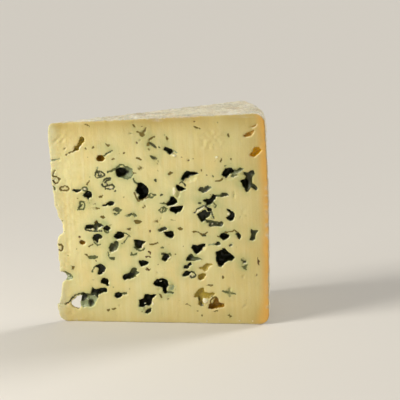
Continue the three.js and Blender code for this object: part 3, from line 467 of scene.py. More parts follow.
# Shallow dents with a soft edge: u, z, width, height, tilt, depth.
DENTS = [
    (65.2, 67.6, 6.0, 3.0, 15, 0.9), (59.4, 60.8, 1.4, 3.8, -8, 0.9), (58.4, 79.4, 2.2, 1.6, -30, 0.7),
    (82.6, 68.0, 4.4, 1.6, 10, 0.5), (70.0, 35.4, 1.6, 3.6, -40, 0.5), (43.0, 7.4, 3.0, 1.6, 0, 0.5),
    (48.8, 16.2, 2.4, 1.6, 0, 0.5), (54.2, 30.8, 1.6, 2.0, -40, 0.4), (5.0, 86.2, 6.0, 1.0, 38, 0.3),
    (7.6, 85.8, 4.0, 0.9, 42, 0.3), (3.4, 76.4, 3.6, 0.7, 4, 0.3), (10.2, 85.6, 2.0, 1.0, 30, 0.2),
    (6.0, 32.6, 2.2, 1.0, -30, 0.4), (81.4, 10.8, 3.6, 0.7, -30, 0.25), (88.0, 8.6, 3.0, 0.8, 40, 0.25),
    (88.6, 52.4, 2.0, 2.6, 0, 0.2), (6.6, 63.4, 3.6, 1.4, 0, 0.25), (14.2, 55.0, 2.4, 2.4, 0, 0.3),
    (23.6, 69.8, 3.2, 2.2, -20, 0.3), (27.6, 64.2, 3.2, 1.2, 0, 0.3), (52.0, 53.4, 2.6, 1.4, 20, 0.3),
    (47.0, 60.2, 2.6, 1.2, 0, 0.3), (34.4, 40.8, 2.4, 2.4, 0, 0.3), (64.6, 23.0, 1.8, 1.8, 0, 0.4),
    (3.0, 67.5, 2.4, 2.2, 0, 0.3), (16.2, 63.2, 1.6, 1.4, 0, 0.3), (42.4, 72.5, 2.2, 1.8, 0, 0.2),
]

# The hole through the thin end, and how far it runs left and down for each millimetre of depth.
HOLE_SLANT = (0.18, 0.21)
HOLE_ZONE = 14.0
THROUGH_HOLE = [
    (6.7, 9.6), (8.0, 10.9), (9.3, 12.2), (10.6, 12.9), (11.7, 12.6), (11.5, 11.0), (10.8, 9.6),
    (10.9, 8.2), (10.9, 6.7), (9.9, 5.9), (8.3, 6.5), (6.9, 7.2), (6.4, 8.5),
]

# how far mould has spread on each side of a thin line
VEIN_SPREAD = 0.12

# Faint green clouds in the paste: u, z, width, height, strength.
CLOUDS = [
    (48, 50, 56, 50, 0.2),
    (45, 86, 9, 7, 0.8), (55, 84, 6, 8, 0.4), (29, 80, 9, 6, 0.5), (22, 82, 7, 5, 0.4), (49, 77, 6, 5, 0.7),
    (18, 55, 7, 4, 0.8), (18, 61, 6, 5, 0.6), (20, 40, 8, 7, 0.5), (74, 52, 8, 8, 0.8), (66, 60, 10, 6, 0.4),
    (88, 67, 8, 7, 0.8), (78, 60, 8, 5, 0.5), (80, 45, 10, 6, 0.5), (62, 27, 8, 8, 0.7), (52, 17, 6, 6, 0.9),
    (34, 39, 9, 7, 0.4), (43, 62, 7, 7, 0.5), (81, 15, 6, 4, 0.7), (88, 29, 5, 6, 0.8), (93, 42, 4, 6, 0.5),
    (14, 11, 7, 6, 0.6), (52, 32, 6, 5, 0.6), (69, 12, 7, 6, 0.3), (35, 71, 7, 6, 0.6), (26, 67, 6, 6, 0.6),
    (42, 9, 6, 7, 0.5), (64, 69, 7, 5, 0.5), (57, 58, 7, 7, 0.5), (22, 24, 6, 7, 0.5), (24, 46, 6, 5, 0.5),
    (84, 76, 8, 6, 0.4), (40, 37, 5, 5, 0.4), (54, 43, 5, 4, 0.3), (35, 23, 6, 5, 0.4), (79, 32, 8, 7, 0.4),
]

# The other cut face has cavities of about the same sizes, placed by a rule.
BACK_CAVITY_COUNT = 54
BACK_FIRST = (13, 7)
BACK_LAST = (94, 89)
BACK_SIZES = (2.2, 7.6)
BACK_TONES = ["black", "black", "green", "black", "dark", "slate", "olive", "black", "green", "brown"]
BACK_TILTS = (-30, 60)
EVEN_SPREAD = (0.7549, 0.5698)
BACK_VEIN_COUNT = 60
BACK_VEIN_PLACES = ((8, 92), (6, 88))
BACK_VEIN_SIZES = ((1.2, 4.5), (0.8, 2.4))
BACK_VEIN_HALF_WIDTHS = (0.16, 0.26)
BACK_VEIN_TONES = ["green", "olive", "dark", "tan"]
BACK_VEIN_SEED = 78
CLOSED_SHARE = 0.4

# how deep a shallow pit is, and the deepest a cavity may be as a share of the thickness there
STAIN_DEPTH = 0.35
DEEPEST_SHARE = 0.42

# Tiny dots scattered by seed on the other cut face, and far fewer on the front one.
DOT_COUNTS = {"front": 26, "back": 120}
DOT_SIZES = (0.45, 1.1)
DOT_PLACES = ((5, 90), (5, 88))
DOT_TONES = ["olive", "green", "tan", "tan", "brown"]
DOT_SEED = 77

# Crumbs stuck along the two top rims: how far along the rim, how far in from it, and how big.
CRUMB_COUNT = 110
CRUMB_PLACES = (6, 94)
CRUMB_INSETS = (0.4, 1.3)
CRUMB_RADII = (0.25, 0.5)
CRUMB_SUNK = 0.1
CRUMB_SEED = 5

# The patch of pebbly paste high up on the right: u, z, width, height, tilt, then how high its pebbles are.
PEBBLE_PATCH = (75.5, 85, 12, 10, 0)
PEBBLE_HEIGHT = 0.28


def rgb(red, green, blue):
    """A colour as it looks on screen, from 0 to 255, made linear."""
    parts = [part / 255 for part in (red, green, blue)]
    return [part / 12.92 if part <= 0.04045 else ((part + 0.055) / 1.055) ** 2.4 for part in parts] + [1.0]


# colours of mould, stains and bare bits; cream also serves as painted highlight, and black as painted shade
# deep in cavities
TONES = {
    "black": rgb(32, 34, 8),
    "dark": rgb(66, 67, 26),
    "green": rgb(96, 101, 50),
    "slate": rgb(156, 165, 122),
    "olive": rgb(118, 98, 26),
    "brown": rgb(96, 64, 10),
    "resin": rgb(180, 156, 52),
    "bark": rgb(166, 124, 20),
    "honey": rgb(206, 160, 60),
    "amber": rgb(232, 184, 22),
    "tan": rgb(174, 166, 104),
    "cream": rgb(246, 238, 200),
}

# the share of the tone that shows, where less than all of it does
STRENGTHS = {"tan": 0.6, "slate": 0.9}

# tones of cavities that mould grows in, and tones that dye the paste around them
MOULDY_TONES = ("black", "dark", "green")
DYEING_TONES = ("black", "dark", "green", "slate", "olive")

# how far the darker paste reaches in from the top, the side and the base, and how strong it is; the wide
# band along the side is partly painted shade, the face darkening towards the side away from the light
TOP_BAND = 6.5
SIDE_OCHRE_AND_SHADE_BAND = 18.0
BASE_BAND = 7.0
BAND_STRENGTH = 0.75

LATTICE = 64
_lattices = {}


def noise(seed, scale, *place):
    """Smooth random field between -1 and 1; place is two or three arrays in millimetres."""
    if (seed, len(place)) not in _lattices:
        shape = (LATTICE,) * len(place)
        _lattices[seed, len(place)] = np.random.default_rng(seed).uniform(-1, 1, shape).astype(np.float32)
    table = _lattices[seed, len(place)]
    cells, shares = [], []
    for axis in place:
        at = np.asarray(axis, np.float32) / np.float32(scale) + np.float32(0.37 * seed)
        cell = np.floor(at)
        share = at - cell
        cell = cell.astype(np.int32)
        cells.append((cell % LATTICE, (cell + 1) % LATTICE))
        shares.append(share * share * (3 - 2 * share))
    total = 0.0
    for corner in range(2 ** len(place)):
        picks, weight = [], 1.0
        for axis in range(len(place)):
            side = corner >> axis & 1
            picks.append(cells[axis][side])
            weight = weight * (shares[axis] if side else 1 - shares[axis])
        total = total + weight * table[tuple(picks)]
    return total


def smooth_max(a, b, width):
    share = np.clip(0.5 + 0.5 * (a - b) / width, 0, 1)
    return b + (a - b) * share + width * share * (1 - share)


def smooth_step(low, high, value):
    share = np.clip((value - low) / (high - low), 0, 1)
    return share * share * (3 - 2 * share)


def draw(seed):
    """A fixed number from 0 to 1 for each value of the seed."""
    raw = math.sin(seed * 12.9898) * 43758.5453
    return raw - math.floor(raw)


def between(pair, share):
    return pair[0] + (pair[1] - pair[0]) * share


# Outlines in a cut face: distance in millimetres, negative inside.

def warped(u, z):
    """A place in the face, shifted a little so that every outline is ragged."""
    return (u + 0.12 * noise(21, 1.9, u, z) + 0.24 * noise(22, 0.85, u, z),
            z + 0.12 * noise(23, 1.9, u, z) + 0.24 * noise(24, 0.85, u, z))


def polygon_distance(corners, u, z):
    ring = corners + corners[:1]
    inside = np.zeros(np.broadcast(u, z).shape, bool)
    for (au, az), (bu, bz) in zip(ring, ring[1:]):
        if bz != az:
            crosses = (az > z) != (bz > z)
            inside ^= crosses & (u < au + (bu - au) * (z - az) / (bz - az))
    return np.where(inside, -1, 1) * line_distance(ring, u, z)


def oval_distance(shape, u, z):
    at_u, at_z, width, height, tilt = shape
    turn = math.radians(tilt)
    along = (u - at_u) * math.cos(turn) + (z - at_z) * math.sin(turn)
    across = -(u - at_u) * math.sin(turn) + (z - at_z) * math.cos(turn)
    reach = np.sqrt((along / (width / 2)) ** 2 + (across / (height / 2)) ** 2)
    slope = np.sqrt((along / (width / 2) ** 2) ** 2 + (across / (height / 2) ** 2) ** 2)
    return (reach - 1) * reach / np.maximum(slope, 1e-6)


def line_distance(points, u, z):
    nearest = np.full(np.broadcast(u, z).shape, 1e9, np.float32)
    for (au, az), (bu, bz) in zip(points, points[1:]):
        du, dz = bu - au, bz - az
        along = np.clip(((u - au) * du + (z - az) * dz) / (du * du + dz * dz), 0, 1)
        nearest = np.minimum(nearest, (u - au - along * du) ** 2 + (z - az - along * dz) ** 2)
    return np.sqrt(nearest)


def thickness_at(u):
    return u * math.tan(WEDGE_ANGLE)


def middle_and_reach(points):
    us, zs = zip(*points)
    middle = ((min(us) + max(us)) / 2, (min(zs) + max(zs)) / 2)
    sides = (max(us) - min(us), max(zs) - min(zs))
    return middle, max(sides) / 2, min(sides)


class Mark:
    """One cavity, groove or stain of a cut face. A depth of 0 leaves the face flat."""

    def __init__(self, face, tone, depth, outline, middle, reach, size):
        self.face = face
        self.tone = tone
        self.flat = depth == 0
        self.depth = max(min(depth, DEEPEST_SHARE * thickness_at(middle[0])), 0.3)
        self.outline = outline
        self.middle = middle
        self.reach = reach
        self.size = size
        self.slant = min(0.45, 0.16 * size) if self.depth > 1 else 0.0

    def distance(self, u, z):
        return self.outline(*warped(u, z))

    def mouth(self, u, v, z):
        """The outline at depth v: near the face its lower right side is bevelled."""
        edge = self.distance(u, z)
        if self.slant:
            shift = self.slant * (1 - smooth_step(0, 1.1, v))
            edge = np.minimum(edge, self.distance(u - 0.8 * shift, z + 0.6 * shift))
        return edge

    def hollow(self, u, v, z):
        """Distance to the walls of the cavity, v being the depth below the face."""
        share = np.clip(v / self.depth, 0, 1)
        undercut = 0.10 * self.size * np.sin(math.pi * share) - 0.14 * self.size * share ** 2
        floor = v - self.depth * (0.9 + 0.2 * noise(31, 2.0, u, z))
        rough = 0.30 * noise(32, 1.6, u, v, z) + 0.18 * noise(33, 0.8, u, v, z)
        walls = self.mouth(u, v, z) - undercut + 0.05
        return smooth_max(walls, floor, min(0.9, 0.5 * self.depth)) + rough * np.minimum(share * 1.6, 1)


def cavity_mark(face, tone, depth, corners):
    middle, reach, size = middle_and_reach(corners)
    return Mark(face, tone, depth, lambda u, z: polygon_distance(corners, u, z), middle, reach, size)


def spot_mark(face, tone, u, z, width, height, tilt):
    shape = (u, z, width, height, tilt)
    depth = 0.5 * min(width, height)
    return Mark(face, tone, depth, lambda a, b: oval_distance(shape, a, b), (u, z),
                max(width, height) / 2, min(width, height))


def vein_mark(face, tone, half_width, points):
    middle, reach, _ = middle_and_reach(points)
    half_width = half_width + VEIN_SPREAD
    return Mark(face, tone, 1.6 * half_width, lambda u, z: line_distance(points, u, z) - half_width,
                middle, reach + half_width, 2 * half_width)


def rough_ring(seed, u, z, width, height, tilt, count):
    """Corners of an uneven outline round a place."""
    turn = math.radians(tilt)
    corners = []
    for step in range(count):
        angle = 2 * math.pi * (step + 0.5 * draw(seed + step)) / count
        stretch = 0.72 + 0.56 * draw(seed + 50 + step)
        along = stretch * width / 2 * math.cos(angle)
        across = stretch * height / 2 * math.sin(angle)
        corners.append((u + along * math.cos(turn) - across * math.sin(turn),
                        z + along * math.sin(turn) + across * math.cos(turn)))
    return corners


def back_marks():
    marks = []
    for row in range(BACK_CAVITY_COUNT):
        u = between((BACK_FIRST[0], BACK_LAST[0]), (0.5 + EVEN_SPREAD[0] * row) % 1)
        z = between((BACK_FIRST[1], BACK_LAST[1]), (0.5 + EVEN_SPREAD[1] * row) % 1)
        width = between(BACK_SIZES, draw(200 + row) ** 1.6)
        height = width * between((0.45, 1), draw(300 + row))
        tilt = 180 - between(BACK_TILTS, draw(400 + row))
        tone = BACK_TONES[row % len(BACK_TONES)]
        count = 6 + int(6 * draw(700 + row))
        corners = rough_ring(1000 + 100 * row, u, z, 1.05 * width, 1.05 * height, tilt, count)
        marks.append(cavity_mark("back", tone, 0.65 * width, corners))
    rng = np.random.default_rng(BACK_VEIN_SEED)
    for row in range(BACK_VEIN_COUNT):
        u, z = (rng.uniform(*span) for span in BACK_VEIN_PLACES)
        width, height = (rng.uniform(*span) for span in BACK_VEIN_SIZES)
        line = rough_ring(9000 + 100 * row, u, z, width, height, rng.uniform(*BACK_TILTS), 8)
        line = line[:rng.integers(3, 9)]
        if rng.uniform() < CLOSED_SHARE:
            line = line + line[:1]
        tone = BACK_VEIN_TONES[rng.integers(len(BACK_VEIN_TONES))]
        marks.append(vein_mark("back", tone, rng.uniform(*BACK_VEIN_HALF_WIDTHS), line))
    return marks


def dots():
    """Tiny specks and pin holes scattered over the cut faces."""
    marks = []
    rng = np.random.default_rng(DOT_SEED)
    for face, count in DOT_COUNTS.items():
        for _ in range(count):
            u, z = (rng.uniform(*span) for span in DOT_PLACES)
            width = between(DOT_SIZES, rng.uniform() ** 2)
            height = width * rng.uniform(0.5, 1)
            tone = DOT_TONES[rng.integers(len(DOT_TONES))]
            marks.append(spot_mark(face, tone, u, z, width, height, rng.uniform(0, 180)))
    return marks


def all_marks():
    """Every mark, the ones that lie on top last."""
    marks = [cavity_mark("front", tone, 0, corners) for tone, corners in PATCHES]
    marks += [cavity_mark("front", tone, STAIN_DEPTH, corners) for tone, corners in STAINS]
    marks += [cavity_mark("front", *row) for row in CAVITIES]
    marks += [vein_mark("front", *row) for row in VEINS]
    marks += [spot_mark("front", *row) for row in SPOTS]
    return marks + back_marks() + dots()


# The wedge as a field of distances, negative inside.

def face_place(face, x, y):
    """Place along a cut face and depth below it, for a point of the wedge."""
    if face == "front":
        return x, y
    return (x * math.cos(WEDGE_ANGLE) + y * math.sin(WEDGE_ANGLE),
            x * math.sin(WEDGE_ANGLE) - y * math.cos(WEDGE_ANGLE))


def side_radius(z):
    lean = TOP_LEAN * np.clip(z / HEIGHT, 0, 1) ** 6 + FOOT_LEAN * (1 - smooth_step(0, FOOT_LEAN_TOP, z))
    return WHEEL_RADIUS - lean


def top_height(radius):
    return CENTRE_HEIGHT + (RIM_HEIGHT - CENTRE_HEIGHT) * radius / WHEEL_RADIUS


def rounded_corner(a, b, radius):
    """Where two surfaces meet in a round edge."""
    reach = np.hypot(np.maximum(a + radius, 0), np.maximum(b + radius, 0))
    return reach + np.minimum(np.maximum(a + radius, b + radius), 0) - radius


def rind_relief(a, b):
    """The rind's lumps and pits."""
    return (0.20 * noise(41, 6.0, a, b) + 0.16 * noise(42, 2.4, a, b)
            + 0.20 * noise(43, 1.15, a, b) + 0.14 * noise(44, 0.75, a, b))


def face_relief(face, u, z):
    """How far a cut face lies below its plane: gentle waves, drag marks of the cut and dents."""
    seed = 51 if face == "front" else 61
    waves = 0.16 * noise(seed, 17.0, u, z) + 0.08 * noise(seed + 1, 6.0, u, z)
    drag = 0.03 * noise(seed + 2, 1.5, u, 0.12 * z)
    lumps = 0.05 * noise(seed + 3, 2.1, u, z) + 0.03 * noise(seed + 4, 1.0, u, z)
    swell = TIP_SWELL * smooth_step(TIP_SWELL_END, 0, u)
    total = FACE_INSET + waves + drag + lumps * (1 + 1.2 * smooth_step(22, 4, u)) - swell
    if face == "front":
        pebbly = smooth_step(1.5, -2, oval_distance(PEBBLE_PATCH, u, z))
        total = total + PEBBLE_HEIGHT * pebbly * noise(57, 1.2, u, z)
        for *shape, depth in DENTS:
            edge = oval_distance(shape, *warped(u, z))
            total = total + depth * smooth_step(0.3, -0.36 * min(shape[2], shape[3]), edge)
    return total


def wedge_distance(x, y, z):
    radius = np.hypot(x, y)
    around = WHEEL_RADIUS * np.arctan2(y, np.maximum(x, 1e-3))
    u, v = face_place("back", x, y)
    inward = np.minimum(y, v)
    calm = 0.35 + 0.65 * smooth_step(0.2, 2.2, inward)
    sunk = RIND_SUNK * smooth_step(1.0, 6.0, inward)
    side = radius - side_radius(z) + sunk - calm * rind_relief(around, z)
    top = z - top_height(radius) - calm * rind_relief(x + 200, y)
    body = rounded_corner(side, top, TOP_EDGE_RADIUS)
    body = rounded_corner(body, -z, BASE_EDGE_RADIUS)
    front = -y + face_relief("front", x, z)
    back = -v + face_relief("back", u, z)
    cut = smooth_max(front, back, 0.4)
    return smooth_max(body, cut, 0.25)


def cell_places(axes, block):
    """Where a block of cells lies along x, y and z, each shaped to spread over the block."""
    x, y, z = (axis[cells] for axis, cells in zip(axes, block))
    return x[:, None, None], y[None, :, None], z[None, None, :]


def cells_between(axes, spans):
    """The block of cells between two places on each axis."""
    block = []
    for axis, (low, high) in zip(axes, spans):
        first, last = np.searchsorted(axis, (low, high))
        block.append(slice(max(first - 1, 0), last + 1))
    return tuple(block)


def thin_end(axes, reach):
    """The block of cells up to a distance from the middle of the wheel."""
    return slice(int(np.searchsorted(axes[0], reach))), slice(None), slice(None)


def crumble(field, axes):
    """Breaks the thin inner edge away along its ragged line."""
    block = thin_end(axes, TIP_ZONE)
    x, y, z = cell_places(axes, block)
    heights = [height for _, height in CRUMBLED_TIP]
    edges = [edge for edge, _ in CRUMBLED_TIP]
    crumbly = 0.30 * noise(71, 2.2, y, z) + 0.22 * noise(72, 1.0, x, y, z)
    tip = np.interp(z, heights, edges).astype(np.float32) + TIP_SHIFT + crumbly - x
    field[block] = smooth_max(field[block], tip, 0.5)


def block_around(axes, face, middle, reach, shallow, deep):
    """The cells around a place of a cut face, and their places along and below the face."""
    u, z = middle
    if face == "front":
        spans = [(u - reach, u + reach), (shallow, deep)]
    else:
        cos, sin = math.cos(WEDGE_ANGLE), math.sin(WEDGE_ANGLE)
        corners = [(a * cos + b * sin, a * sin - b * cos)
                   for a in (u - reach, u + reach) for b in (shallow, deep)]
        spans = [(min(c[axis] for c in corners), max(c[axis] for c in corners)) for axis in (0, 1)]
    block = cells_between(axes, [*spans, (z - reach, z + reach)])
    x, y, height = cell_places(axes, block)
    along, below = face_place(face, x, y)
    return block, along, below, height


def carve(field, axes, mark):
    """Takes one mark's hollow out of the field."""
    reach = mark.reach + 1.2
    deep = mark.depth * 1.3 + 1.5
    block, u, v, z = block_around(axes, mark.face, mark.middle, reach, -MARGIN, deep)
    field[block] = smooth_max(field[block], -mark.hollow(u, v, z), 0.12)


def add_fleck(field, axes, fleck):
    """Adds a small column of paste that ends at the fleck's top."""
    *shape, top = fleck
    middle = (shape[0], shape[1])
    reach = max(shape[2], shape[3]) / 2 + 0.8
    foot = min(8.0, 0.55 * thickness_at(shape[0]))
    block, u, v, z = block_around(axes, "front", middle, reach, -MARGIN, foot)
    edge = oval_distance(shape, *warped(u, z)) + 0.1 * noise(36, 0.8, u, z)
    column = smooth_max(edge, top - v + 0.2 * noise(35, 0.9, u, z), 0.3)
    column = np.maximum(column, v - foot + 0.4)
    field[block] = -smooth_max(-field[block], -column, 0.15)


def pierce(field, axes):
    """The hole through the thin end."""
    block = thin_end(axes, HOLE_ZONE)
    x, y, z = cell_places(axes, block)
    along, up = x + HOLE_SLANT[0] * y, z + HOLE_SLANT[1] * y
    edge = polygon_distance(THROUGH_HOLE, *warped(along, up)) + 0.12 * noise(81, 1.5, x, y, z)
    field[block] = smooth_max(field[block], -edge, 0.3)


def rim_crumbs():
    """Small bits stuck along the top rims: place and radius in millimetres."""
    found = []
    rng = np.random.default_rng(CRUMB_SEED)
    for _ in range(CRUMB_COUNT):
        u = rng.uniform(*CRUMB_PLACES)
        radius = rng.uniform(*CRUMB_RADII)
        height = float(top_height(u)) - CRUMB_SUNK
        inset = rng.uniform(*CRUMB_INSETS)
        if rng.uniform() < 0.5:
            found.append((u, inset, height, radius))
        else:
            x = u * math.cos(WEDGE_ANGLE) + inset * math.sin(WEDGE_ANGLE)
            y = u * math.sin(WEDGE_ANGLE) - inset * math.cos(WEDGE_ANGLE)
            found.append((x, y, height, radius))
    return found


def add_crumb(field, axes, crumb):
    *middle, radius = crumb
    block = cells_between(axes, [(at - radius - 1, at + radius + 1) for at in middle])
    x, y, z = (place - at for place, at in zip(cell_places(axes, block), middle))
    ball = np.sqrt(x * x + 1.1 * y * y + 1.3 * z * z) - radius
    field[block] = -smooth_max(-field[block], -ball, 0.3)


def make_field(marks):
    spans = ((0, LENGTH), (0, THICKNESS), (0, HEIGHT))
    axes = [np.arange(low - MARGIN, high + MARGIN, CELL, dtype=np.float32) for low, high in spans]
    field = wedge_distance(*cell_places(axes, [slice(None)] * 3))
    crumble(field, axes)
    for crumb in rim_crumbs():
        add_crumb(field, axes, crumb)
    for mark in marks:
        if not mark.flat:
            carve(field, axes, mark)
    for fleck in FLECKS_AND_GLINTS:
        add_fleck(field, axes, fleck)
    pierce(field, axes)
    return field, axes


def surface_of(field, axes):
    """The closed surface where the field is nought: points in millimetres and four-sided faces."""
    grid = openvdb.FloatGrid(float(MARGIN))
    grid.copyFromArray(np.ascontiguousarray(field, dtype=np.float32))
    grid.transform = openvdb.createLinearTransform(voxelSize=CELL)
    points, _, quads = grid.convertToPolygons(isovalue=0.0, adaptivity=0.0)
    return main_part(points + np.array([axis[0] for axis in axes], np.float32), quads)


def main_part(points, quads):
    """The biggest connected surface."""
    part = np.arange(len(points))
    while True:
        lowest = part[quads].min(axis=1)
        spread = part.copy()
        for corner in range(4):
            np.minimum.at(spread, quads[:, corner], lowest)
        spread = spread[spread]
        if np.array_equal(spread, part):
            break
        part = spread
    kept = part == np.bincount(part).argmax()
    renumbered = np.cumsum(kept) - 1
    return points[kept], renumbered[quads[kept[quads[:, 0]]]]


def tip_corner():
    """Where the middle of the wheel meets the base, in the frame."""
    return np.array([cad_low.x, cad_low.y, cad_low.z])


def add_object(name, data):
    made = bpy.data.objects.new(name, data)
    bpy.context.scene.collection.objects.link(made)
    return made


def mesh_object(name, points, faces):
    mesh = bpy.data.meshes.new(name)
    mesh.from_pydata((points * MM + tip_corner()).tolist(), [], faces.tolist())
    mesh.validate()
    return add_object(name, mesh)


def places_of(mesh):
    """The mesh's points in millimetres, in the wedge's own frame."""
    flat = np.empty(3 * len(mesh.vertices), np.float32)
    mesh.vertices.foreach_get("co", flat)
    return (flat.reshape(-1, 3) - tip_corner()) / MM


def thin_out(piece):
    """Fewer triangles: most are kept near the front cut face and fewest on the rind."""
    x, y, _ = places_of(piece.data).T
    below_front = y
    below_back = face_place("back", x, y)[1]
    front = (below_front < FACE_ZONE) & (below_front <= below_back)
    back = (below_back < FACE_ZONE) & ~front
    group = piece.vertex_groups.new(name="thinning")
    for zone, weight in zip((front, back, ~front & ~back), THINNING):
        group.add(np.flatnonzero(zone).tolist(), weight, "REPLACE")
    counted = sum(len(face.vertices) - 2 for face in piece.data.polygons)
    thinner = piece.modifiers.new("thinner", "DECIMATE")
    thinner.ratio = min(1.0, TRIANGLES / counted)
    thinner.vertex_group = group.name
    thinner.vertex_group_factor = 1.0
    thinned = piece.evaluated_get(bpy.context.evaluated_depsgraph_get())
    old = piece.data
    piece.data = bpy.data.meshes.new_from_object(thinned)
    piece.modifiers.clear()
    piece.vertex_groups.clear()
    bpy.data.meshes.remove(old)


def set_mask(mesh, name, values):
    layer = mesh.attributes.new(name, "FLOAT", "POINT")
    layer.data.foreach_set("value", np.clip(values, 0, 1).astype(np.float32))


def set_colour(mesh, name, values):
    layer = mesh.attributes.new(name, "FLOAT_COLOR", "POINT")
    layer.data.foreach_set("color", np.clip(values, 0, 1).astype(np.float32).ravel())


class Paint:
    """Stain colour and strength on the mesh's points."""

    def __init__(self, count):
        self.colour = np.zeros((count, 4), np.float32)
        self.colour[:, 3] = 1
        self.amount = np.zeros(count, np.float32)
        self.tint = np.zeros(count, np.float32)
        # painted highlight on the lower right rims of cavity mouths
        self.painted_rim_highlight = np.zeros(count, np.float32)

    def ready(self, points, colour):
        """Gives the clean points just outside a mark its colour, so that its edge isn't darkened."""
        self.colour[points[self.amount[points] < 0.02]] = colour

    def lay(self, points, colour, share):
        """Covers the points with a share of the colour, over what is there."""
        below = self.amount[points] * (1 - share)
        total = below + share
        keep = (below / np.maximum(total, 1e-6))[:, None]
        covered = self.colour[points] * keep + np.asarray(colour, np.float32) * (1 - keep)
        self.colour[points] = np.where(share[:, None] > 0, covered, self.colour[points])
        self.amount[points] = total


def cavity_colour(mark, depth, blotch, fuzz):
    """The mould in a cavity, with patches of grey-green growth near its mouth; it turns to black with depth,
    which is painted shade deep in the hollow.
    """
    tone = np.array(TONES[mark.tone])
    if mark.tone not in MOULDY_TONES:
        return np.broadcast_to(tone, (len(depth), 4))
    # painted shade: the colour goes to black deeper in the cavity
    deep = smooth_step(0.8, 2.8, depth + 0.7 * blotch)[:, None]
    colour = tone * (1 - deep) + np.array(TONES["black"]) * deep
    if mark.tone == "green":
        return colour
    share = 0.4 if mark.depth > 4.5 else 0.75
    grown = share * smooth_step(-0.05, 0.5, blotch + 0.4 * fuzz) * smooth_step(3.0, 0.8, depth)
    return colour * (1 - grown[:, None]) + np.array(TONES["green"]) * grown[:, None]


def paint_mark(paint, mark, u, v, z):
    spread = mark.reach + 3.5
    near = np.flatnonzero((abs(u - mark.middle[0]) < spread) & (abs(z - mark.middle[1]) < spread)
                          & (v < mark.depth * 1.4 + 1.0) & (v > -1.5))
    if not len(near):
        return
    au, av, az = u[near], v[near], z[near]
    edge = mark.distance(au, az)
    blotch = noise(37, 1.3, au, av, az)
    fuzz = noise(38, 0.7, au, av, az)
    tone = np.array(TONES[mark.tone])
    strength = STRENGTHS.get(mark.tone, 1.0)
    paint.ready(near[edge < 0.8], tone)
    if mark.flat:
        patchy = np.clip(0.6 + 0.5 * blotch + 0.3 * fuzz, 0, 1)
        paint.lay(near, tone, strength * smooth_step(0.7, -0.5, edge) * patchy)
    elif mark.depth > 1.0:
        lining = smooth_step(0.25, 0.75, av + 0.2 * fuzz)
        inside = np.maximum(smooth_step(0.9, 0.35, edge) * lining, smooth_step(0.05, -0.35, edge))
        paint.lay(near, cavity_colour(mark, av, blotch, fuzz), strength * inside)
    else:
        patchy = np.clip(0.95 + 0.35 * blotch + 0.25 * fuzz, 0.45, 1)
        paint.lay(near, tone, strength * smooth_step(0.26, -0.10, edge + 0.1 * fuzz) * patchy)
    if mark.tone in MOULDY_TONES and mark.size > 1.2 and mark.depth > 1.0:
        fringe = smooth_step(0.9, 0.05, edge) * smooth_step(0.0, 0.55, blotch + 0.5 * fuzz)
        fringe *= (edge > -0.1) * smooth_step(1.2, 0.2, av)
        paint.lay(near, np.array(TONES["slate"]) * 0.8, 0.5 * fringe)
    # Painted highlight: cream on the lower right rim of each bevelled mouth, where light from the upper left
    # falls; only partly the paler paste of a fresh rim.
    if mark.slant:
        aside = mark.distance(au - 0.28, az + 0.28)
        lower_right = np.clip((edge - aside) / 0.4, 0, 1)
        rim = lower_right ** 2 * smooth_step(0.75, 0.15, edge) * smooth_step(-0.25, 0.1, edge)
        paint.painted_rim_highlight[near] = np.maximum(paint.painted_rim_highlight[near], rim * smooth_step(1.6, 0.4, av))
    if mark.tone in DYEING_TONES:
        halo = np.exp(-np.maximum(edge, 0) / 1.6) * min(1, mark.size / 2.5)
        paint.tint[near] += 0.65 * halo


def paint_flecks_and_glints(paint, x, y, z):
    # painted highlight: cream on the tops of the flecks, partly pale paste and partly glints of wet mould
    for *shape, top in FLECKS_AND_GLINTS:
        reach = max(shape[2], shape[3]) / 2 + 1
        near = np.flatnonzero((abs(x - shape[0]) < reach) & (abs(z - shape[1]) < reach)
                              & (y < max(top, 0) + 0.7) & (y > -1.5))
        edge = oval_distance(shape, *warped(x[near], z[near]))
        share = smooth_step(0.25, -0.05, edge) * smooth_step(max(top, 0) + 0.7, max(top, 0) + 0.3, y[near])
        paint.lay(near, np.array(TONES["cream"]), 0.75 * share)


def paint_cheese(mesh, marks):
    """Masks and colours of mould, stains and rind on the mesh's points."""
    x, y, z = places_of(mesh).T
    faces = {face: face_place(face, x, y) for face in ("front", "back")}
    paint = Paint(len(x))
    for mark in marks:
        paint_mark(paint, mark, *faces[mark.face], z)
    paint_flecks_and_glints(paint, x, y, z)
    on_front = smooth_step(2.5, 1.0, y)
    for u, up, width, height, strength in CLOUDS:
        cloud = smooth_step(1, 0, np.hypot((x - u) / width, (z - up) / height))
        paint.tint += 0.7 * strength * cloud * on_front
    set_colour(mesh, "stain", paint.colour)
    set_mask(mesh, "stained", paint.amount)
    set_mask(mesh, "tint", paint.tint * (0.85 + 0.3 * noise(91, 3.0, x, z)))
    set_mask(mesh, "painted_rim_highlight", paint.painted_rim_highlight)
    paint_rind(mesh, x, y, z)


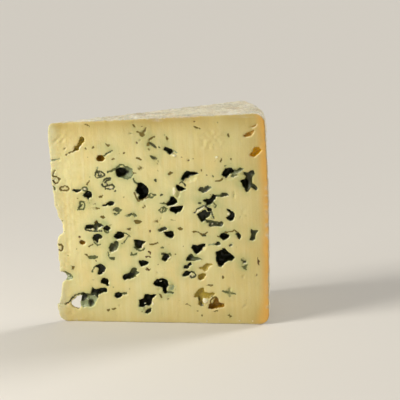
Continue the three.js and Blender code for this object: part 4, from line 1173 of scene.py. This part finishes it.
def paint_rind(mesh, x, y, z):
    """Masks of the rind itself and of the drier, darker paste next to it; the wide band along the side is
    partly painted shade, darker towards the side away from the light.
    """
    radius = np.hypot(x, y)
    around = WHEEL_RADIUS * np.arctan2(y, np.maximum(x, 1e-3))
    under_side = side_radius(z) - radius
    under_top = top_height(radius) - z
    body = rounded_corner(-under_side, -under_top, TOP_EDGE_RADIUS)
    under_rind = -rounded_corner(body, -z, BASE_EDGE_RADIUS)
    inward = np.minimum(y, face_place("back", x, y)[1]) + 0.12 * noise(92, 1.0, around, z)
    set_mask(mesh, "rind", smooth_step(1.8, 1.3, under_rind) * smooth_step(0.2, 0.5, inward))
    relief = np.where(under_side < under_top, rind_relief(around, z), rind_relief(x + 200, y))
    set_mask(mesh, "knob", 0.5 + relief)
    uneven = 1 + 0.25 * noise(93, 9.0, x + y, z)
    top_band = BAND_STRENGTH * np.exp(-np.maximum(under_top - 1.5, 0) / TOP_BAND)
    # partly painted shade: the wide side band darkens the face towards the side, besides giving the paste by
    # the rind its ochre
    side_ochre_and_shade = BAND_STRENGTH * np.exp(-np.maximum(under_side, 0) / SIDE_OCHRE_AND_SHADE_BAND)
    base_band = (0.55 + 0.35 * smooth_step(20, 4, x)) * np.exp(-np.maximum(z, 0) / BASE_BAND)
    set_mask(mesh, "ochre_and_side_shade", (1 - (1 - top_band) * (1 - side_ochre_and_shade) * (1 - base_band)) * uneven)
    reach = 5.0 + 4.5 * smooth_step(12, 0, z)
    set_mask(mesh, "rim", smooth_step(1.0, 0.1, (under_side + 0.6 * noise(94, 7.0, x, z)) / reach))
    set_mask(mesh, "tip", smooth_step(6, 0.5, x + 1.2 * noise(95, 5.0, y, z)))


class Nodes:
    """Short ways to make and link shader nodes."""

    def __init__(self, name):
        self.material = bpy.data.materials.new(name)
        self.material.use_nodes = True
        self.tree = self.material.node_tree
        self.shader = self.tree.nodes["Principled BSDF"]
        self.place = self.tree.nodes.new("ShaderNodeTexCoord").outputs["Object"]

    def link(self, value, socket):
        if isinstance(value, bpy.types.NodeSocket):
            self.tree.links.new(value, socket)
        else:
            socket.default_value = value

    def attribute(self, name, output="Fac"):
        node = self.tree.nodes.new("ShaderNodeAttribute")
        node.attribute_name = name
        return node.outputs[output]

    def math(self, operation, a, b, clamp=False):
        node = self.tree.nodes.new("ShaderNodeMath")
        node.operation = operation
        node.use_clamp = clamp
        self.link(a, node.inputs[0])
        self.link(b, node.inputs[1])
        return node.outputs[0]

    def stretched(self, scale):
        node = self.tree.nodes.new("ShaderNodeMapping")
        node.inputs["Scale"].default_value = scale
        self.link(self.place, node.inputs["Vector"])
        return node.outputs["Vector"]

    def grain(self, per_metre, detail=3.0, roughness=0.5, vector=None):
        node = self.tree.nodes.new("ShaderNodeTexNoise")
        node.inputs["Scale"].default_value = per_metre
        node.inputs["Detail"].default_value = detail
        node.inputs["Roughness"].default_value = roughness
        self.link(vector or self.place, node.inputs["Vector"])
        return node.outputs["Fac"]

    def between(self, value, low, high, to_low=0.0, to_high=1.0):
        node = self.tree.nodes.new("ShaderNodeMapRange")
        node.interpolation_type = "SMOOTHSTEP"
        for socket, number in zip(node.inputs[1:5], (low, high, to_low, to_high)):
            socket.default_value = number
        self.link(value, node.inputs["Value"])
        return node.outputs["Result"]

    def mix(self, share, a, b):
        node = self.tree.nodes.new("ShaderNodeMix")
        node.data_type = "RGBA"
        self.link(share, node.inputs["Factor"])
        self.link(a, node.inputs[6])
        self.link(b, node.inputs[7])
        return node.outputs[2]

    def blend(self, share, a, b):
        node = self.tree.nodes.new("ShaderNodeMix")
        self.link(share, node.inputs[0])
        self.link(a, node.inputs[2])
        self.link(b, node.inputs[3])
        return node.outputs[0]

    def bump(self, height, strength, distance, under=None):
        node = self.tree.nodes.new("ShaderNodeBump")
        node.inputs["Strength"].default_value = strength
        node.inputs["Distance"].default_value = distance
        self.link(height, node.inputs["Height"])
        if under is not None:
            self.link(under, node.inputs["Normal"])
        return node.outputs["Normal"]


# colours of the paste and the rind, as they look in soft light
PASTE = rgb(229, 219, 158)
PASTE_PALE = rgb(238, 230, 180)
PASTE_WARM = rgb(230, 213, 147)
# ochre of the paste by the rind, also used as painted shade along the side
OCHRE_AND_SHADE = rgb(184, 157, 78)
RIM_ORANGE = rgb(226, 172, 76)
TIP_PALE = rgb(208, 204, 162)
GREEN_TINT = rgb(168, 178, 118)
RIND_PALE = rgb(220, 210, 178)
RIND_GREY = rgb(182, 171, 140)
RIND_TAN = rgb(198, 168, 116)
RIND_WHITE = rgb(240, 234, 212)
RIND_BLUE = rgb(146, 146, 130)

# What lies over the paste near its edges: mask, share, colour. The ochre layer is partly painted shade along
# the side.
PASTE_LAYERS = [("ochre_and_side_shade", 0.9, OCHRE_AND_SHADE), ("rim", 0.85, RIM_ORANGE), ("tip", 0.8, TIP_PALE)]
TINT_SHARE = 0.75
# how much cream the painted rim highlight lays over the paste
PAINTED_HIGHLIGHT_SHARE = 0.7

# Patches on the rind: noise per metre with its detail and roughness, where a patch sets in, share, colour.
RIND_PATCHES = [
    ((70, 5.0, 0.6), (0.5, 0.68), 0.75, RIND_TAN),
    ((150, 6.0, 0.7), (0.52, 0.68), 0.7, RIND_BLUE),
    ((110, 6.0, 0.75), (0.5, 0.66), 0.75, RIND_WHITE),
]

# drag marks in each metre along x, y and z, then the strength and height in metres of each kind of bump
STREAKS_PER_METRE = (700, 700, 22)
STREAK_BUMP = (0.25, 0.0004)
GRAIN_BUMP = (0.3, 0.00035)
RIND_BUMP = (0.9, 0.0006)

# how rough and how waxy the surface is
PASTE_ROUGHNESS = (0.36, 0.52)
MOULD_ROUGHNESS = 0.42
RIND_ROUGHNESS = 0.86
SUBSURFACE_WEIGHT = 0.35
SUBSURFACE_RADIUS = (1.0, 0.7, 0.35)
SUBSURFACE_SCALE = 0.002
SPECULAR_LEVEL = 0.45


def cheese_material():
    n = Nodes("blue_cheese")
    fine = n.grain(1300, 3.0, 0.6)
    middling = n.grain(300, 3.0, 0.55)
    broad = n.grain(45, 2.0)
    streaks = n.grain(1.0, 3.0, 0.6, n.stretched(STREAKS_PER_METRE))

    paste = n.mix(n.between(broad, 0.35, 0.65), PASTE, PASTE_WARM)
    paste = n.mix(n.between(streaks, 0.42, 0.7, 0, 0.36), paste, PASTE_PALE)
    for mask, share, tone in PASTE_LAYERS:
        paste = n.mix(n.math("MULTIPLY", n.attribute(mask), share), paste, tone)
    uneven_tint = n.math("MULTIPLY", n.attribute("tint"), n.between(middling, 0.3, 0.7, 0.6, 1.0))
    paste = n.mix(n.math("MULTIPLY", uneven_tint, TINT_SHARE, clamp=True), paste, GREEN_TINT)
    # painted highlight: cream on the lower right rims of cavity mouths
    paste = n.mix(n.math("MULTIPLY", n.attribute("painted_rim_highlight"), PAINTED_HIGHLIGHT_SHARE), paste, TONES["cream"])

    stained = n.math("ADD", n.attribute("stained"), n.between(fine, 0.25, 0.75, -0.2, 0.2))
    dimmed = n.mix(n.between(fine, 0.42, 0.7, 0, 0.3), n.attribute("stain", "Color"), TONES["black"])
    stain = n.mix(n.between(n.attribute("stain"), 0.4, 0.7), dimmed, n.attribute("stain", "Color"))
    colour = n.mix(n.between(stained, 0.24, 0.74), paste, stain)

    sandy = n.grain(1900, 4.0, 0.7)
    rind = n.mix(n.between(n.attribute("knob"), 0.2, 0.8), RIND_GREY, RIND_PALE)
    for grain, edges, share, tone in RIND_PATCHES:
        rind = n.mix(n.between(n.grain(*grain), *edges, 0, share), rind, tone)
    rind = n.mix(n.between(sandy, 0.42, 0.66, 0, 0.7), rind, RIND_WHITE)
    rind = n.mix(n.between(sandy, 0.5, 0.3, 0, 0.35), rind, RIND_GREY)
    skin = n.attribute("rind")
    colour = n.mix(skin, colour, rind)
    n.link(colour, n.shader.inputs["Base Color"])

    bare = n.between(middling, 0.3, 0.7, *PASTE_ROUGHNESS)
    moist = n.blend(n.between(stained, 0.3, 0.9), bare, MOULD_ROUGHNESS)
    n.link(n.blend(skin, moist, RIND_ROUGHNESS), n.shader.inputs["Roughness"])

    relief = n.bump(streaks, *STREAK_BUMP)
    relief = n.bump(fine, *GRAIN_BUMP, relief)
    relief = n.bump(n.math("MULTIPLY", sandy, skin), *RIND_BUMP, relief)
    n.link(relief, n.shader.inputs["Normal"])

    n.shader.inputs["Subsurface Weight"].default_value = SUBSURFACE_WEIGHT
    n.shader.inputs["Subsurface Radius"].default_value = SUBSURFACE_RADIUS
    n.shader.inputs["Subsurface Scale"].default_value = SUBSURFACE_SCALE
    n.shader.inputs["Specular IOR Level"].default_value = SPECULAR_LEVEL
    return n.material


def make_cheese():
    marks = all_marks()
    field, axes = make_field(marks)
    piece = mesh_object("cheese_wedge", *surface_of(field, axes))
    thin_out(piece)
    paint_cheese(piece.data, marks)
    piece.data.shade_smooth()
    piece.data.materials.append(cheese_material())
    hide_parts("cheese")
    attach(piece, "root")


# The floor, the light and the camera.

FLOOR_HALF = 30.0
FLOOR_COLOUR = rgb(214, 209, 200)
FLOOR_ROUGHNESS = 0.7

# Suns: name, where the light comes from, softness in degrees, strength, colour.
SUNS = [
    ("window", (-0.80, -0.45, 0.75), 22, 1.65, (1.0, 0.985, 0.95)),
    ("behind", (0.80, 0.55, 0.60), 20, 1.7, (1.0, 0.99, 0.97)),
]

# A small lamp in front: name, place, what it points at, size, watts, colour.
NEAR_LAMP = ("near", (-0.24, -0.19, 0.15), (0, -0.02, 0.04), 0.12, 0.35, (1.0, 0.97, 0.90))
ROOM_COLOUR = (1.0, 0.985, 0.96, 1.0)
ROOM_STRENGTH = 0.36


def make_floor():
    corners = [(-FLOOR_HALF, -FLOOR_HALF, cad_low.z), (FLOOR_HALF, -FLOOR_HALF, cad_low.z),
               (FLOOR_HALF, FLOOR_HALF, cad_low.z), (-FLOOR_HALF, FLOOR_HALF, cad_low.z)]
    mesh = bpy.data.meshes.new("floor")
    mesh.from_pydata(corners, [], [(0, 1, 2, 3)])
    floor = add_object("floor", mesh)
    material = bpy.data.materials.new("floor")
    material.use_nodes = True
    shader = material.node_tree.nodes["Principled BSDF"]
    shader.inputs["Base Color"].default_value = FLOOR_COLOUR
    shader.inputs["Roughness"].default_value = FLOOR_ROUGHNESS
    mesh.materials.append(material)


def aim(lamp, place, target):
    lamp.location = place
    lamp.rotation_euler = (Vector(target) - Vector(place)).to_track_quat("-Z", "Y").to_euler()


def make_lamp(name, place, target, size, watts, colour):
    data = bpy.data.lights.new(name, "AREA")
    data.shape = "DISK"
    data.size = size
    data.energy = watts
    data.color = colour
    aim(add_object(name, data), place, target)


def make_sun(name, direction, softness, strength, colour):
    data = bpy.data.lights.new(name, "SUN")
    data.angle = math.radians(softness)
    data.energy = strength
    data.color = colour
    aim(add_object(name, data), direction, (0, 0, 0))


def make_light():
    for sun in SUNS:
        make_sun(*sun)
    make_lamp(*NEAR_LAMP)
    world = bpy.data.worlds.new("room")
    world.use_nodes = True
    sky = world.node_tree.nodes["Background"]
    sky.inputs["Color"].default_value = ROOM_COLOUR
    sky.inputs["Strength"].default_value = ROOM_STRENGTH
    bpy.context.scene.world = world
    bpy.context.scene.view_settings.view_transform = "Standard"


# the camera that fits the wedge's corners in the photograph: degrees and millimetres
CAMERA_AZIMUTH = 10.17
CAMERA_ELEVATION = 12.01
CAMERA_ROLL = -2.23
CAMERA_DISTANCE = 492.0
CAMERA_TARGET = (69.3, 0.0, 58.0)
FOCAL_PIXELS = 1100.0
FRAME_PIXELS = 400.0
SENSOR_WIDTH = 36.0

# the nearest that the camera sees, in metres
CLIP_START = 0.01


def make_camera():
    azimuth, elevation = math.radians(CAMERA_AZIMUTH), math.radians(CAMERA_ELEVATION)
    roll = math.radians(CAMERA_ROLL)
    back = Vector((math.sin(azimuth) * math.cos(elevation), -math.cos(azimuth) * math.cos(elevation),
                   math.sin(elevation)))
    level = (-back).cross(Vector((0, 0, 1))).normalized()
    upright = level.cross(-back)
    right = math.cos(roll) * level + math.sin(roll) * upright
    up = math.cos(roll) * upright - math.sin(roll) * level
    target = Vector(tip_corner()) + Vector(CAMERA_TARGET) * MM
    data = bpy.data.cameras.new("camera")
    data.sensor_width = SENSOR_WIDTH
    data.lens = SENSOR_WIDTH * FOCAL_PIXELS / FRAME_PIXELS
    data.clip_start = CLIP_START
    camera = add_object("camera", data)
    turned = Matrix((right, up, back)).transposed().to_4x4()
    camera.matrix_world = Matrix.Translation(target + back * CAMERA_DISTANCE * MM) @ turned
    bpy.context.scene.camera = camera


make_cheese()
make_floor()
make_light()
make_camera()
